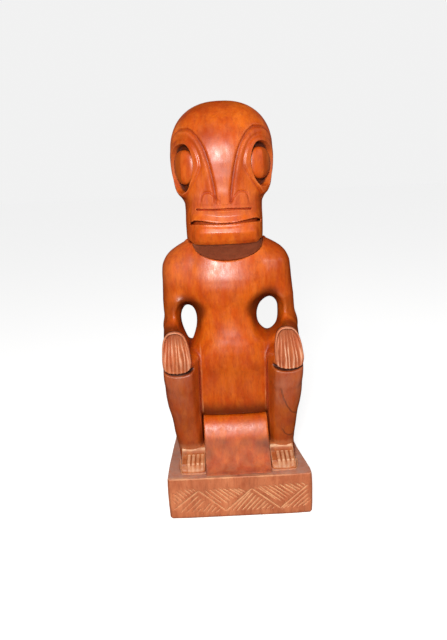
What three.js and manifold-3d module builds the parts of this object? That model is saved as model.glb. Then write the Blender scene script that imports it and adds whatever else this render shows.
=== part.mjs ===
// Seated fertility figure carved in the round from one block of reddish tropical hardwood.
// A big-eyed tiki figure sits upright on a low stool with its hands hanging over its knees; stool and
// feet stand on a thick plinth whose front face carries a chip-carved zigzag band.
// The real object is a single block of wood. The model divides it into the carved masses that a carver
// roughs out (head, neck, torso, arms, hands, legs, feet, seat, plinth), each a separate solid, divided
// along the carved creases wherever there is one.
//
// Frame: millimetres, +Z up, origin at the middle of the plinth's underside. The figure faces -Y.
// "left" and "right" are the figure's own: its left side is +X.

import * as THREE from "three";
import { mergeVertices } from "three/addons/utils/BufferGeometryUtils.js";
import Module from "manifold-3d";

const wasm = await Module();
wasm.setup();

// ---------------------------------------------------------------- driving dimensions, millimetres
const HEIGHT = 400; // plinth underside to crown
const PLINTH_W = 143; // across the front
const PLINTH_D = 126; // front to back
const PLINTH_H = 44;
const SEAT_TOP = 93.5;
const SEAT_HALF_W = 33; // the ramp between the legs
const STOOL_HALF_W = 50; // the stool behind the legs
const STOOL_FRONT = -7; // Y of the stool's face behind the legs
const STOOL_BACK = 48;
const CHIN_Z = 270.5; // lower edge of the jaw
const HAND_X = 53.6; // middle of each hand
const HAND_FRONT = -54; // Y of the front of the hands
const HAND_BACK = -46.5;
const FOOT_X = 45;
const FOOT_FRONT = -50;
const GAP = 0.3; // between touching masses
const GROOVE = 1.7; // width of a chip-carved line
const EYE = { x: 37, y: -32, z: 340, turn: 47, halfH: 20, halfW: 13 }; // eye socket, turned from straight ahead

// Sections of the lofted masses. Each row is [z, half width, front y, back y, squareness].
const TORSO = [
  [94, 42, -8, 40, 3.6],
  [97, 46, -18, 43, 3.6],
  [104, 49, -24, 46, 3.4],
  [118, 50, -27, 47, 3.2],
  [134, 50, -28.5, 46, 3.1],
  [148, 49.5, -29.5, 43, 3],
  [158, 46, -30, 39, 2.8],
  [166, 41, -30.5, 35, 2.6],
  [175, 35.5, -30.5, 32, 2.5],
  [186, 31.5, -30, 31, 2.4],
  [196, 31.2, -29, 31.5, 2.4],
  [204, 34.6, -28, 33, 2.6],
  [210, 41, -27.3, 35, 2.9],
  [216, 48.5, -26.8, 36.5, 3.2],
  [226, 53, -26.3, 38, 3.2],
  [237, 54.5, -24.8, 38, 3.2],
  [246, 54, -21, 36.5, 3.1],
  [254, 51, -13.5, 33.5, 2.9],
  [260, 46, -6, 30, 2.7],
  [264.5, 38, 1, 26, 2.4],
];
const NECK = [
  [246, 37, -19, 30, 2.6],
  [252, 37.2, -22, 31, 2.6],
  [260, 37, -28.5, 32, 2.7],
  [266, 36.6, -35, 33, 2.8],
  [CHIN_Z - GAP, 36, -41, 34, 3],
];
const HEAD = [
  [CHIN_Z, 35.8, -43.5, 34.5, 3.2],
  [274, 36.6, -46.5, 36, 3.4],
  [281, 37, -48.3, 38, 3.4],
  [290, 37.3, -47.6, 40, 3.2],
  [299, 37, -46, 42, 3],
  [306, 37.6, -45, 43.2, 2.9],
  [312, 42, -44, 44.2, 2.8],
  [318, 45.3, -43, 45, 2.7],
  [330, 47.8, -42, 46, 2.6],
  [344, 49, -42.4, 46, 2.5],
  [358, 49, -43, 44.8, 2.45],
  [368, 47.6, -41.8, 42, 2.35],
  [377, 44.2, -38, 37.2, 2.25],
  [385, 38.2, -32, 30.5, 2.15],
  [391.5, 30.5, -25, 23, 2.05],
  [396.5, 20.5, -16.5, 14, 2],
  [HEIGHT, 6, -6, 3, 2],
];
// [z, middle x, middle y, half width, half depth] of the upper arm, shoulder to elbow
const UPPER_ARM = [
  [266, 38, 8, 4, 6],
  [262.5, 40, 7, 12, 14],
  [257, 42, 5, 17, 19],
  [250, 45, 4, 18, 22.5],
  [241, 48.5, 4, 16.3, 23.5],
  [230, 51, 5, 14.6, 22.5],
  [217, 53.6, 6, 12.6, 19.5],
  [205, 56, 8, 10.8, 16.5],
  [192, 57.2, 9, 10.2, 15],
  [181, 57.6, 10, 10.6, 14],
  [173, 57.2, 10, 9.8, 11.5],
  [168.5, 57, 9.5, 6.5, 7],
];
// [y, middle x, middle z, half width, half height] of the forearm, elbow to wrist
const FOREARM = [
  [20, 57, 181, 6, 6],
  [14, 57.2, 180.5, 9.4, 9.6],
  [0, 57.2, 180, 10.2, 11],
  [-16, 56.6, 179.5, 10.4, 11],
  [-32, 55.6, 178.5, 11, 11],
  [HAND_BACK + GAP, 54.6, 176.5, 11.6, 11.4],
];
// [y, middle x, middle z, half width, half height] of the thigh, hip to knee
const THIGH = [
  [24, 38, 136, 8, 12],
  [12, 42, 141, 13, 16.5],
  [2, 46.5, 144.5, 15.5, 17.8],
  [-10, 50, 147, 17, 18.5],
  [-24, 51, 148, 17.6, 19],
  [-36, 51, 148, 17.4, 19],
  [-42.5, 51, 147, 16.6, 18],
  [HAND_BACK + GAP, 51, 146, 14.5, 15],
];
// [z, middle x, half width, front y, back y] of the shin, knee to ankle
const SHIN = [
  [156, 51, 14.5, -44, -12],
  [148, 51, 16.6, -46, -9],
  [138, 51, 17, -48, -8],
  [128, 51, 17, -48, -8],
  [118, 50.2, 16.3, -47, -8.5],
  [106, 49.2, 15.2, -45, -9],
  [94, 48.4, 14.2, -43, -9.5],
  [82, 47.7, 13.1, -40.5, -10],
  [72, 47.2, 12.4, -38.5, -10],
  [64, 47, 12.1, -37.5, -9.5],
  [56, 46.6, 12.2, -37, -8.5],
];
// Outline of a hand, half width by height
const HAND = [
  [0, 190.6],
  [4.6, 189.8],
  [8.2, 187],
  [10.8, 182.5],
  [12.2, 176.5],
  [13, 169],
  [13.6, 161],
  [13.4, 155],
  [11.4, 151.4],
  [7.6, 149.4],
  [0, 148.4],
];
// The groove that runs from beside the nose over the eye: [x, z]
const BROW = [
  [5.4, 308.5],
  [7, 317],
  [9, 330],
  [11.7, 342],
  [14.8, 354.5],
  [19.6, 364],
  [26, 371],
  [33, 374.7],
  [40, 374],
];
// The arch over each nostril, the slot of the upper lip and the mouth, from the middle outwards: [x, z]
const NOSE_WING = [
  [5, 308],
  [9, 311.6],
  [12.7, 315],
  [17, 317.6],
  [21.3, 317.3],
  [24.2, 314.7],
];
const LIP_LINE = [
  [0, 301.6],
  [13, 301.6],
  [25, 301.4],
];
const MOUTH = [
  [0, 288.8],
  [12, 289.4],
  [22, 290.8],
  [31, 292.6],
];
// The zigzag of the plinth's front: corners, then the strokes of each hatched field, [x0, z0, x1, z1]
const ZIGZAG = [
  [-66.7, 10],
  [-40.6, 31],
  [-14.6, 8],
  [11.7, 31],
  [39.7, 8],
  [67.1, 32],
];

// ---------------------------------------------------------------- helpers
const powSign = (v, p) => Math.sign(v) * Math.abs(v) ** p;

// A closed skin over rings. ring(i) gives { o, u, v, a, b, c, n }: middle, two directions, the half size
// along u, the half sizes against and along v, and the squareness.
function loft(rings, sides) {
  const g = new THREE.CylinderGeometry(1, 1, 1, sides, rings.length - 1, false);
  const p = g.getAttribute("position");
  for (let i = 0; i < p.count; i++) {
    const x = p.getX(i),
      z = p.getZ(i),
      r = Math.hypot(x, z) < 0.5 ? 0 : 1;
    const k = Math.round((p.getY(i) + 0.5) * (rings.length - 1));
    const { o, u, v, a, b, c, n } = rings[k];
    const t = Math.atan2(z, x);
    const su = r * a * powSign(Math.cos(t), 2 / n);
    const sv = r * (Math.sin(t) < 0 ? b : c) * powSign(Math.sin(t), 2 / n);
    p.setXYZ(
      i,
      o[0] + u[0] * su + v[0] * sv,
      o[1] + u[1] * su + v[1] * sv,
      o[2] + u[2] * su + v[2] * sv,
    );
  }
  return solid(g);
}

// A geometry as a manifold-3d solid with its faces pointing out.
function solid(geometry) {
  const g = geometry.clone();
  g.deleteAttribute("normal");
  g.deleteAttribute("uv");
  const m = mergeVertices(g, 1e-3);
  const make = (tri) =>
    new wasm.Manifold(
      new wasm.Mesh({
        numProp: 3,
        vertProperties: new Float32Array(m.attributes.position.array),
        triVerts: tri,
      }),
    );
  const tri = new Uint32Array(m.index.array);
  const made = make(tri);
  if (made.volume() > 0) return made;
  for (let i = 0; i < tri.length; i += 3)
    [tri[i + 1], tri[i + 2]] = [tri[i + 2], tri[i + 1]];
  return make(tri);
}

// The largest body of a solid: a cut can leave slivers beside it.
const main = (s) =>
  s.decompose().reduce((a, b) => (a.volume() > b.volume() ? a : b));

const joined = (list) => list.reduce((a, b) => a.add(b));

// Rings stacked along Z from [z, half width, front y, back y, squareness], made larger by grow.
const standing = (rows, grow = 0) =>
  rows.map(([z, a, yf, yb, n], i) => ({
    o: [0, (yf + yb) / 2, z + (i === 0 ? -grow : i === rows.length - 1 ? grow : 0)],
    u: [1, 0, 0],
    v: [0, 1, 0],
    a: a + grow,
    b: (yb - yf) / 2 + grow,
    c: (yb - yf) / 2 + grow,
    n,
  }));
// Rings of the limbs, for one side of the figure (side is 1 or -1).
const upperArm = (side, grow = 0) =>
  loft(
    UPPER_ARM.map(([z, x, y, a, b], i) => ({
      o: [side * x, y, z + (i === 0 ? grow : i === UPPER_ARM.length - 1 ? -grow : 0)],
      u: [1, 0, 0],
      v: [0, 1, 0],
      a: a + grow,
      b: b + grow,
      c: b + grow,
      n: 2.2,
    })),
    22,
  );
const along = (rows, side, grow, n, sides) =>
  loft(
    rows.map(([y, x, z, a, b], i) => ({
      o: [side * x, y + (i === 0 ? grow : i === rows.length - 1 ? -grow : 0), z],
      u: [1, 0, 0],
      v: [0, 0, 1],
      a: a + grow,
      b: b + grow,
      c: b + grow,
      n,
    })),
    sides,
  );
const shin = (side, grow = 0) =>
  loft(
    SHIN.map(([z, x, a, yf, yb], i) => ({
      o: [side * x, (yf + yb) / 2, z + (i === 0 ? grow : i === SHIN.length - 1 ? -grow : 0)],
      u: [1, 0, 0],
      v: [0, 1, 0],
      a: a + grow,
      b: (yb - yf) / 2 + grow,
      c: (yb - yf) / 2 + grow,
      n: 2.5,
    })),
    22,
  );

const block = (x0, x1, y0, y1, z0, z1) =>
  solid(
    new THREE.BoxGeometry(x1 - x0, y1 - y0, z1 - z0).translate(
      (x0 + x1) / 2,
      (y0 + y1) / 2,
      (z0 + z1) / 2,
    ),
  );

// An XZ outline pushed through along Y.
function plate(points, y0, y1, bevel = 0) {
  const shape = new THREE.Shape(points.map(([x, z]) => new THREE.Vector2(x, z)));
  const g = new THREE.ExtrudeGeometry(shape, {
    depth: y1 - y0 - 2 * bevel,
    bevelEnabled: bevel > 0,
    bevelThickness: bevel,
    bevelSize: bevel,
    bevelOffset: -bevel,
    bevelSegments: 2,
    curveSegments: 8,
  });
  // the outline's plane is XY and it is pushed along +Z: turn it to XZ, pushed along +Y
  g.rotateX(Math.PI / 2).translate(0, y1 - bevel, 0);
  return solid(g);
}

// A gouge cut along a line of points: width across, its middle on the line.
function gouge(points, width, steps) {
  const path = new THREE.CatmullRomCurve3(
    points.map((q) => new THREE.Vector3(...q)),
    false,
    "catmullrom",
    0.5,
  );
  const section = new THREE.Shape(
    Array.from({ length: 7 }, (_, k) => {
      const t = (2 * Math.PI * k) / 7;
      return new THREE.Vector2((width / 2) * Math.cos(t), (width / 2) * Math.sin(t));
    }),
  );
  return solid(
    new THREE.ExtrudeGeometry(section, { steps, extrudePath: path, bevelEnabled: false }),
  );
}

// Point on the head's front surface above x, z.
function headFront(x, z) {
  let i = 0;
  while (i < HEAD.length - 2 && HEAD[i + 1][0] < z) i++;
  const t = (z - HEAD[i][0]) / (HEAD[i + 1][0] - HEAD[i][0]);
  const [a, yf, yb, n] = [1, 2, 3, 4].map(
    (k) => HEAD[i][k] + t * (HEAD[i + 1][k] - HEAD[i][k]),
  );
  const m = (yf + yb) / 2,
    b = (yb - yf) / 2;
  return m - b * Math.max(0, 1 - Math.abs(x / a) ** n) ** (1 / n);
}

// A straight V-groove cutter on the plinth's front, from x0, z0 to x1, z1.
function stroke(x0, z0, x1, z1) {
  const length = Math.hypot(x1 - x0, z1 - z0);
  const g = new THREE.CylinderGeometry(GROOVE * 0.62, GROOVE * 0.62, length, 3, 1);
  g.rotateY(Math.PI / 6); // one edge of the prism towards +Z before it is laid down
  g.rotateZ(Math.atan2(z1 - z0, x1 - x0) - Math.PI / 2);
  g.rotateX(Math.PI / 2);
  g.translate((x0 + x1) / 2, -PLINTH_D / 2, (z0 + z1) / 2);
  return solid(g);
}

// ---------------------------------------------------------------- plinth
function plinth() {
  const w = PLINTH_W / 2,
    d = PLINTH_D / 2,
    r = 3;
  const s = new THREE.Shape();
  s.moveTo(-w + r, -d);
  s.lineTo(w - r, -d);
  s.quadraticCurveTo(w, -d, w, -d + r);
  s.bezierCurveTo(w, -38, 66.5, -25, 63.5, -6);
  s.bezierCurveTo(62, 8, 61, 26, 60.5, 42);
  s.quadraticCurveTo(60, d, 42, d);
  s.lineTo(-50, d);
  s.quadraticCurveTo(-68, d, -69.5, 44);
  s.bezierCurveTo(-71.5, 20, -w, 0, -w, -30);
  s.lineTo(-w, -d + r);
  s.quadraticCurveTo(-w, -d, -w + r, -d);
  const bevel = 1.6;
  const g = new THREE.ExtrudeGeometry(s, {
    depth: PLINTH_H - 2 * bevel,
    bevelEnabled: true,
    bevelThickness: bevel,
    bevelSize: bevel,
    bevelOffset: -bevel,
    bevelSegments: 2,
    curveSegments: 5,
  }).translate(0, 0, bevel);
  const strokes = [];
  for (let i = 0; i + 1 < ZIGZAG.length; i++)
    strokes.push([...ZIGZAG[i], ...ZIGZAG[i + 1]]);
  // fields below the peaks are hatched parallel to the rising line, fields above the valleys to the falling one
  for (const [peak, foot] of [
    [ZIGZAG[1], ZIGZAG[2]],
    [ZIGZAG[3], ZIGZAG[4]],
  ])
    for (let k = 1; k <= 6; k++) {
      const t = k / 7;
      const x = peak[0] + (foot[0] - peak[0]) * t - 1.2,
        z = peak[1] + (foot[1] - peak[1]) * t - 1.2;
      const reach = Math.min(z - 7, 20 * (1 - 0.35 * t));
      strokes.push([x, z, x - reach * 1.12, z - reach]);
    }
  for (const [valley, left] of [
    [ZIGZAG[2], ZIGZAG[1]],
    [ZIGZAG[4], ZIGZAG[3]],
  ])
    for (let k = 1; k <= 6; k++) {
      const t = k / 7;
      const x = valley[0] + 26.5 * t - 1.6,
        z = valley[1] + 23 * t + 1.6;
      const reach = Math.min(31.5 - z, 18);
      if (reach > 2) strokes.push([x, z, x - reach * 1.1, z + reach]);
    }
  return strokes.reduce((a, q) => a.subtract(stroke(...q)), solid(g));
}

// ---------------------------------------------------------------- seat: stool with a ramp that sweeps down between the legs
const SEAT_SIDE = [
  [-60, PLINTH_H + GAP],
  [-58.5, 45.6],
  [-52, 47.6],
  [-45, 52],
  [-39, 58.5],
  [-34, 67],
  [-30.3, 76],
  [-27, 84],
  [-23.5, 90],
  [-19, SEAT_TOP],
  [STOOL_BACK, SEAT_TOP],
  [STOOL_BACK, PLINTH_H + GAP],
];
function seat(grow = 0) {
  const side = SEAT_SIDE.map(([y, z]) => [
    y + (y < 0 ? -grow : grow),
    z + (z > 45 ? grow : -grow),
  ]);
  // the outline is in YZ and is pushed along X
  const shape = new THREE.Shape(side.map(([y, z]) => new THREE.Vector2(y, z)));
  const g = new THREE.ExtrudeGeometry(shape, {
    depth: 2 * (SEAT_HALF_W + grow),
    bevelEnabled: false,
  });
  g.applyMatrix4(
    new THREE.Matrix4().set(0, 0, 1, -SEAT_HALF_W - grow, 1, 0, 0, 0, 0, 1, 0, 0, 0, 0, 0, 1),
  );
  return solid(g).add(
    block(
      -STOOL_HALF_W - grow,
      STOOL_HALF_W + grow,
      STOOL_FRONT - grow,
      STOOL_BACK + grow,
      PLINTH_H + GAP - grow,
      SEAT_TOP + grow,
    ),
  );
}

// ---------------------------------------------------------------- hands, feet
function hand(side, grow = 0) {
  const right = HAND.map(([x, z]) => [
    x + (x > 0 ? grow : 0),
    z + (z > 170 ? grow : -grow),
  ]);
  const left = right
    .slice(1, -1)
    .reverse()
    .map(([x, z]) => [-x, z]);
  const outline = [...right, ...left].map(([x, z]) => [side * (HAND_X + x), z]);
  return plate(outline, HAND_FRONT - grow, HAND_BACK + grow, grow ? 0 : 2);
}
const fingerGrooves = (side) =>
  [-8.4, -4.2, 0, 4.2, 8.4].map((dx) =>
    gouge(
      [
        [side * HAND_X + dx * 0.72, HAND_FRONT - 0.2, 182 - Math.abs(dx) * 0.7],
        [side * HAND_X + dx, HAND_FRONT - 0.2, 165],
        [side * HAND_X + dx * 0.98, HAND_FRONT - 0.2, 146],
      ],
      2,
      3,
    ),
  );

function foot(side, grow = 0) {
  const rows = [
    [-8, 47, 12.2, 13.5],
    [-20, 46.4, 12.4, 14],
    [-34, 45.6, 12.4, 13.5],
    [-40, 45.2, 12.3, 10],
    [-46.5, 45, 12, 7.2],
    [FOOT_FRONT, 45, 11.4, 3.4],
  ];
  return loft(
    rows.map(([y, x, a, h], i) => ({
      o: [side * x, y + (i === 0 ? grow : i === rows.length - 1 ? -grow : 0), PLINTH_H + GAP],
      u: [1, 0, 0],
      v: [0, 0, 1],
      a: a + grow,
      b: grow + 0.01,
      c: h + grow,
      n: 3.4,
    })),
    24,
  ).subtract(block(-90, 90, -80, 40, 0, PLINTH_H + GAP));
}
const toeGrooves = (side) =>
  [-7, -2.4, 2.4, 7].map((dx) =>
    gouge(
      [
        [side * FOOT_X + dx * 0.92, -36, 57.2],
        [side * FOOT_X + dx, -41.5, 54],
        [side * FOOT_X + dx, -47, 51],
        [side * FOOT_X + dx, -52, 45],
      ],
      2,
      4,
    ),
  );

// ---------------------------------------------------------------- head
function head() {
  let s = loft(standing(HEAD), 40);
  const turn = THREE.MathUtils.degToRad(EYE.turn);
  for (const side of [1, -1]) {
    // an ellipsoid on the eye's own axis, which is turned outwards; out moves it along that axis
    const lens = (thick, w, h, out) =>
      solid(
        new THREE.SphereGeometry(1, 22, 16)
          .scale(w, thick, h)
          .rotateZ(side * turn)
          .translate(
            side * (EYE.x + out * Math.sin(turn)),
            EYE.y - out * Math.cos(turn),
            EYE.z,
          ),
      );
    s = s.add(lens(5.5, EYE.halfW + 5, EYE.halfH + 5.5, -0.6)); // raised ring
    s = s.subtract(lens(6.5, EYE.halfW, EYE.halfH, 4.4)); // socket
    s = s.add(lens(6.2, EYE.halfW - 2.6, EYE.halfH - 3.2, -1)); // eyeball
    for (const [line, width, steps] of [
      [BROW, 3, 14],
      [NOSE_WING, 2.2, 8],
    ])
      s = s.subtract(
        gouge(
          line.map(([x, z]) => [side * x, headFront(x, z), z]),
          width,
          steps,
        ),
      );
  }
  for (const [line, width] of [
    [LIP_LINE, 2],
    [MOUTH, 5],
  ])
    s = s.subtract(
      gouge(
        [...line.slice(1).reverse().map(([x, z]) => [-x, z]), ...line].map(
          ([x, z]) => [x, headFront(Math.abs(x), z), z],
        ),
        width,
        12,
      ),
    );
  return main(s);
}

// ---------------------------------------------------------------- the divided block
const torsoSolid = loft(standing(TORSO), 36);
const neckGrown = loft(standing(NECK, GAP), 32);
const seatGrown = seat(GAP);
const parts = new Map();

parts.set("plinth", main(plinth()));
parts.set("seat", main(seat()));
parts.set("neck", main(loft(standing(NECK), 32)));
parts.set("head", head());
const torso = main(torsoSolid.subtract(seatGrown).subtract(neckGrown));
parts.set("torso", torso);
const torsoGrown = loft(standing(TORSO, GAP), 36);
for (const side of [1, -1]) {
  const who = side > 0 ? "left" : "right";
  parts.set(
    who + "_hand",
    main(fingerGrooves(side).reduce((a, b) => a.subtract(b), hand(side))),
  );
  const armBody = (grow) =>
    upperArm(side, grow).add(along(FOREARM, side, grow, 2.2, 22));
  parts.set(
    who + "_arm",
    main(
      armBody(0).subtract(torsoGrown).subtract(neckGrown).subtract(hand(side, GAP)),
    ),
  );
  const legBody = (grow) => along(THIGH, side, grow, 2.5, 22).add(shin(side, grow));
  parts.set(
    who + "_leg",
    main(
      legBody(0)
        .subtract(torsoGrown)
        .subtract(seatGrown)
        .subtract(armBody(GAP))
        .subtract(hand(side, GAP))
        .subtract(block(-90, 90, -70, 20, 0, 57)),
    ),
  );
  parts.set(
    who + "_foot",
    main(
      toeGrooves(side).reduce(
        (a, b) => a.subtract(b),
        foot(side)
          .subtract(seatGrown)
          .subtract(block(-90, 90, -38.6, 20, 57 - GAP, 70)),
      ),
    ),
  );
}

// The block leans and wanders a little, as hand work does: each height is shifted sideways by a few tenths to 3 mm.
const SWAY = [
  [0, 0],
  [44, 0],
  [100, -1.7],
  [160, -0.6],
  [200, -2.4],
  [240, -3.2],
  [300, -2.5],
  [400, -2],
];
function sway(z) {
  let i = 0;
  while (i < SWAY.length - 2 && SWAY[i + 1][0] < z) i++;
  const t = Math.min(1, Math.max(0, (z - SWAY[i][0]) / (SWAY[i + 1][0] - SWAY[i][0])));
  return SWAY[i][1] + t * (SWAY[i + 1][1] - SWAY[i][1]);
}

function geometryOf(s) {
  const m = s.getMesh(),
    n = m.numProp;
  const v = new Float32Array(m.numVert * 3);
  for (let i = 0; i < m.numVert; i++) {
    v.set(m.vertProperties.subarray(i * n, i * n + 3), i * 3);
    v[i * 3] += sway(v[i * 3 + 2]);
  }
  const g = new THREE.BufferGeometry()
    .setAttribute("position", new THREE.BufferAttribute(v, 3))
    .setIndex(new THREE.BufferAttribute(new Uint32Array(m.triVerts), 1));
  g.computeVertexNormals();
  return g;
}

const COLOURS = {
  head: 0xc9591c,
  neck: 0x7a3d22,
  torso: 0xcd5a19,
  plinth: 0xb9582b,
  seat: 0xb24e22,
  arm: 0xc2511c,
  hand: 0xb9623c,
  leg: 0xb04a20,
  foot: 0xb4562a,
};

const figure = new THREE.Group();
for (const [name, s] of parts) {
  const mesh = new THREE.Mesh(
    geometryOf(s),
    new THREE.MeshStandardMaterial({
      color: COLOURS[name.split("_").pop()],
      roughness: 0.38,
      metalness: 0,
    }),
  );
  mesh.name = name;
  figure.add(mesh);
}

export default figure;
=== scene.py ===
import math

import bpy
import numpy as np
from mathutils import Matrix, Vector


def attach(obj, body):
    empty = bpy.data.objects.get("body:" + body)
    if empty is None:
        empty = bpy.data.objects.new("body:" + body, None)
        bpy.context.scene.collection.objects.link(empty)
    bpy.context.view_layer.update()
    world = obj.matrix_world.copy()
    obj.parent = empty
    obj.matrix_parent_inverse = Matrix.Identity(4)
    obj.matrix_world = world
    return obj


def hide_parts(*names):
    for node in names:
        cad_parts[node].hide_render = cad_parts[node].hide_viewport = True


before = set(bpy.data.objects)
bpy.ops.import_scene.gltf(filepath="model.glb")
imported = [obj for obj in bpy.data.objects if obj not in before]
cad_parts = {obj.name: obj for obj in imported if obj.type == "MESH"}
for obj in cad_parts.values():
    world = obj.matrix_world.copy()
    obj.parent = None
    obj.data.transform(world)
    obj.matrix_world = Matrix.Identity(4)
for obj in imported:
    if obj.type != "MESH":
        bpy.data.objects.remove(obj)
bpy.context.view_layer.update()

FINE = 1.0  # grid steps are multiplied by this

# Everything below is worked out in millimetres in the part's own frame (+Z up, the figure faces -Y) and
# turned into metres when a mesh is made. Each carved mass is a signed field, negative inside the wood;
# its surface is drawn over the field's zero.

# ------------------------------------------------------------------ small maths
f32 = np.float32


def smin(a, b, k):
    h = np.clip(0.5 + 0.5 * (b - a) / k, 0, 1)
    return b + (a - b) * h - k * h * (1 - h)


def smax(a, b, k):
    return -smin(-a, -b, k)


def ramp(x, lo, hi):
    t = np.clip((x - lo) / (hi - lo), 0, 1)
    return t * t * (3 - 2 * t)


def bump(d, w):
    """1 on the line, 0 from w away, round."""
    t = np.clip(np.abs(d) / w, 0, 1)
    return (1 - t * t) ** 2


def vee(d, w):
    """1 on the line, 0 from w away, a V with a slightly soft bottom."""
    t = np.clip(np.sqrt(d * d + 0.03) / w, 0, 1)
    return 1 - t


def dense(rows, n=500):
    """Smooth monotone curves through a table's columns, sampled finely: (z, columns)."""
    r = np.array(rows, float)
    z = r[:, 0]
    out_z = np.linspace(z[0], z[-1], n)
    cols = []
    h = np.diff(z)
    for c in range(1, r.shape[1]):
        y = r[:, c]
        s = np.diff(y) / h
        m = np.zeros(len(z))
        m[0], m[-1] = s[0], s[-1]
        for i in range(1, len(z) - 1):
            if s[i - 1] * s[i] > 0:
                w1, w2 = 2 * h[i] + h[i - 1], h[i] + 2 * h[i - 1]
                m[i] = (w1 + w2) / (w1 / s[i - 1] + w2 / s[i])
        k = np.clip(np.searchsorted(z, out_z, side="right") - 1, 0, len(z) - 2)
        t = (out_z - z[k]) / h[k]
        cols.append(
            (2 * t**3 - 3 * t**2 + 1) * y[k]
            + (t**3 - 2 * t**2 + t) * h[k] * m[k]
            + (-2 * t**3 + 3 * t**2) * y[k + 1]
            + (t**3 - t**2) * h[k] * m[k + 1]
        )
    return out_z, cols


def look(v, table):
    z, cols = table
    return [np.interp(v, z, c).astype(f32) for c in cols]


def section(px, py, a, b, n):
    """Distance to a superellipse of half sizes a and b, measured from its middle."""
    rho = ((np.abs(px) / a) ** n + (np.abs(py) / b) ** n) ** (1 / n)
    r = np.sqrt(px * px + py * py)
    return r * (1 - 1 / np.maximum(rho, 0.02))


def seg(px, pz, x0, z0, x1, z1):
    """Distance in a plane to a line from x0, z0 to x1, z1."""
    dx, dz = x1 - x0, z1 - z0
    t = np.clip(((px - x0) * dx + (pz - z0) * dz) / (dx * dx + dz * dz), 0, 1)
    return np.hypot(px - x0 - t * dx, pz - z0 - t * dz)


def curve(points, n=60):
    """A smooth line through points, as n points."""
    p = np.array(points, float)
    d = np.r_[0, np.cumsum(np.hypot(*np.diff(p, axis=0).T))]
    t, (x, z) = dense(np.c_[d, p], n)
    return np.c_[x, z]


def near(px, pz, line):
    """(distance to a line of points, side of it: + on the right of its direction) in a plane."""
    best = np.full(px.shape, 1e9, f32)
    side = np.zeros(px.shape, f32)
    for (x0, z0), (x1, z1) in zip(line[:-1], line[1:]):
        dx, dz = x1 - x0, z1 - z0
        t = np.clip(((px - x0) * dx + (pz - z0) * dz) / (dx * dx + dz * dz), 0, 1)
        ex, ez = px - x0 - t * dx, pz - z0 - t * dz
        d = ex * ex + ez * ez
        closer = d < best
        best = np.where(closer, d, best)
        side = np.where(closer, np.sign(ex * dz - ez * dx), side)
    return np.sqrt(best), side


def outline_distance(px, py, corners):
    """Signed distance to a closed outline, negative inside."""
    inside = np.zeros(px.shape, bool)
    best = np.full(px.shape, 1e9, f32)
    n = len(corners)
    for i in range(n):
        (x0, y0), (x1, y1) = corners[i], corners[(i + 1) % n]
        best = np.minimum(best, seg(px, py, x0, y0, x1, y1))
        at = (x1 - x0) * (py - y0) / (y1 - y0 if y1 != y0 else 1e-9) + x0
        inside ^= ((y0 > py) != (y1 > py)) & (px < at)
    return np.where(inside, -best, best).astype(f32)


def ring_of(points, n=6):
    """A smooth closed outline through points."""
    p = np.array(points, float)
    out = []
    for i in range(len(p)):
        a, b, c, d = (p[(i + k) % len(p)] for k in (-1, 0, 1, 2))
        for t in np.arange(n) / n:
            out.append(0.5 * (2 * b + (c - a) * t + (2 * a - 5 * b + 4 * c - d) * t**2 + (3 * b - a - 3 * c + d) * t**3))
    return np.array(out)


rng = np.random.default_rng(20)
LATTICE = rng.random((32, 32, 32)).astype(f32)


def noise(x, y, z, size, shift=0.0):
    """Smooth random values from -1 to 1, with lumps about size across."""
    p = [v / size + shift + 7.3 * i for i, v in enumerate((x, y, z))]
    c = [np.floor(v) for v in p]
    t = [v - w for v, w in zip(p, c)]
    t = [v * v * (3 - 2 * v) for v in t]
    i = [w.astype(np.int32) & 31 for w in c]
    j = [(w + 1) & 31 for w in i]
    out = 0
    for a in (0, 1):
        for b in (0, 1):
            for d in (0, 1):
                w = (
                    (t[0] if a else 1 - t[0])
                    * (t[1] if b else 1 - t[1])
                    * (t[2] if d else 1 - t[2])
                )
                out = out + w * LATTICE[
                    (j[0] if a else i[0]),
                    (j[1] if b else i[1]),
                    (j[2] if d else i[2]),
                ]
    return out * 2 - 1


def sway(z):
    """The block leans and wanders: how far each height is shifted sideways."""
    return np.interp(
        z, [0, 44, 100, 160, 200, 240, 300, 400], [0, 0, -1.7, -0.6, -2.4, -3.2, -2.5, -2]
    ).astype(f32)


# ------------------------------------------------------------------ from a field to a mesh
def stretch(lo, hi, step, fine=None, far=None):
    """Grid lines from lo to hi: step apart inside fine = (a, b), growing to far apart outside it."""
    step *= FINE
    if fine is None:
        return np.linspace(lo, hi, max(4, int((hi - lo) / step) + 1)).astype(f32)
    far *= FINE
    at = list(np.arange(fine[0], fine[1] + 1e-6, step))
    s = step
    while at[-1] < hi:
        s = min(far, s * 1.08)
        at.append(at[-1] + s)
    s = step
    head = [fine[0]]
    while head[-1] > lo:
        s = min(far, s * 1.08)
        head.append(head[-1] - s)
    return np.array(head[:0:-1] + at, f32)


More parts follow.
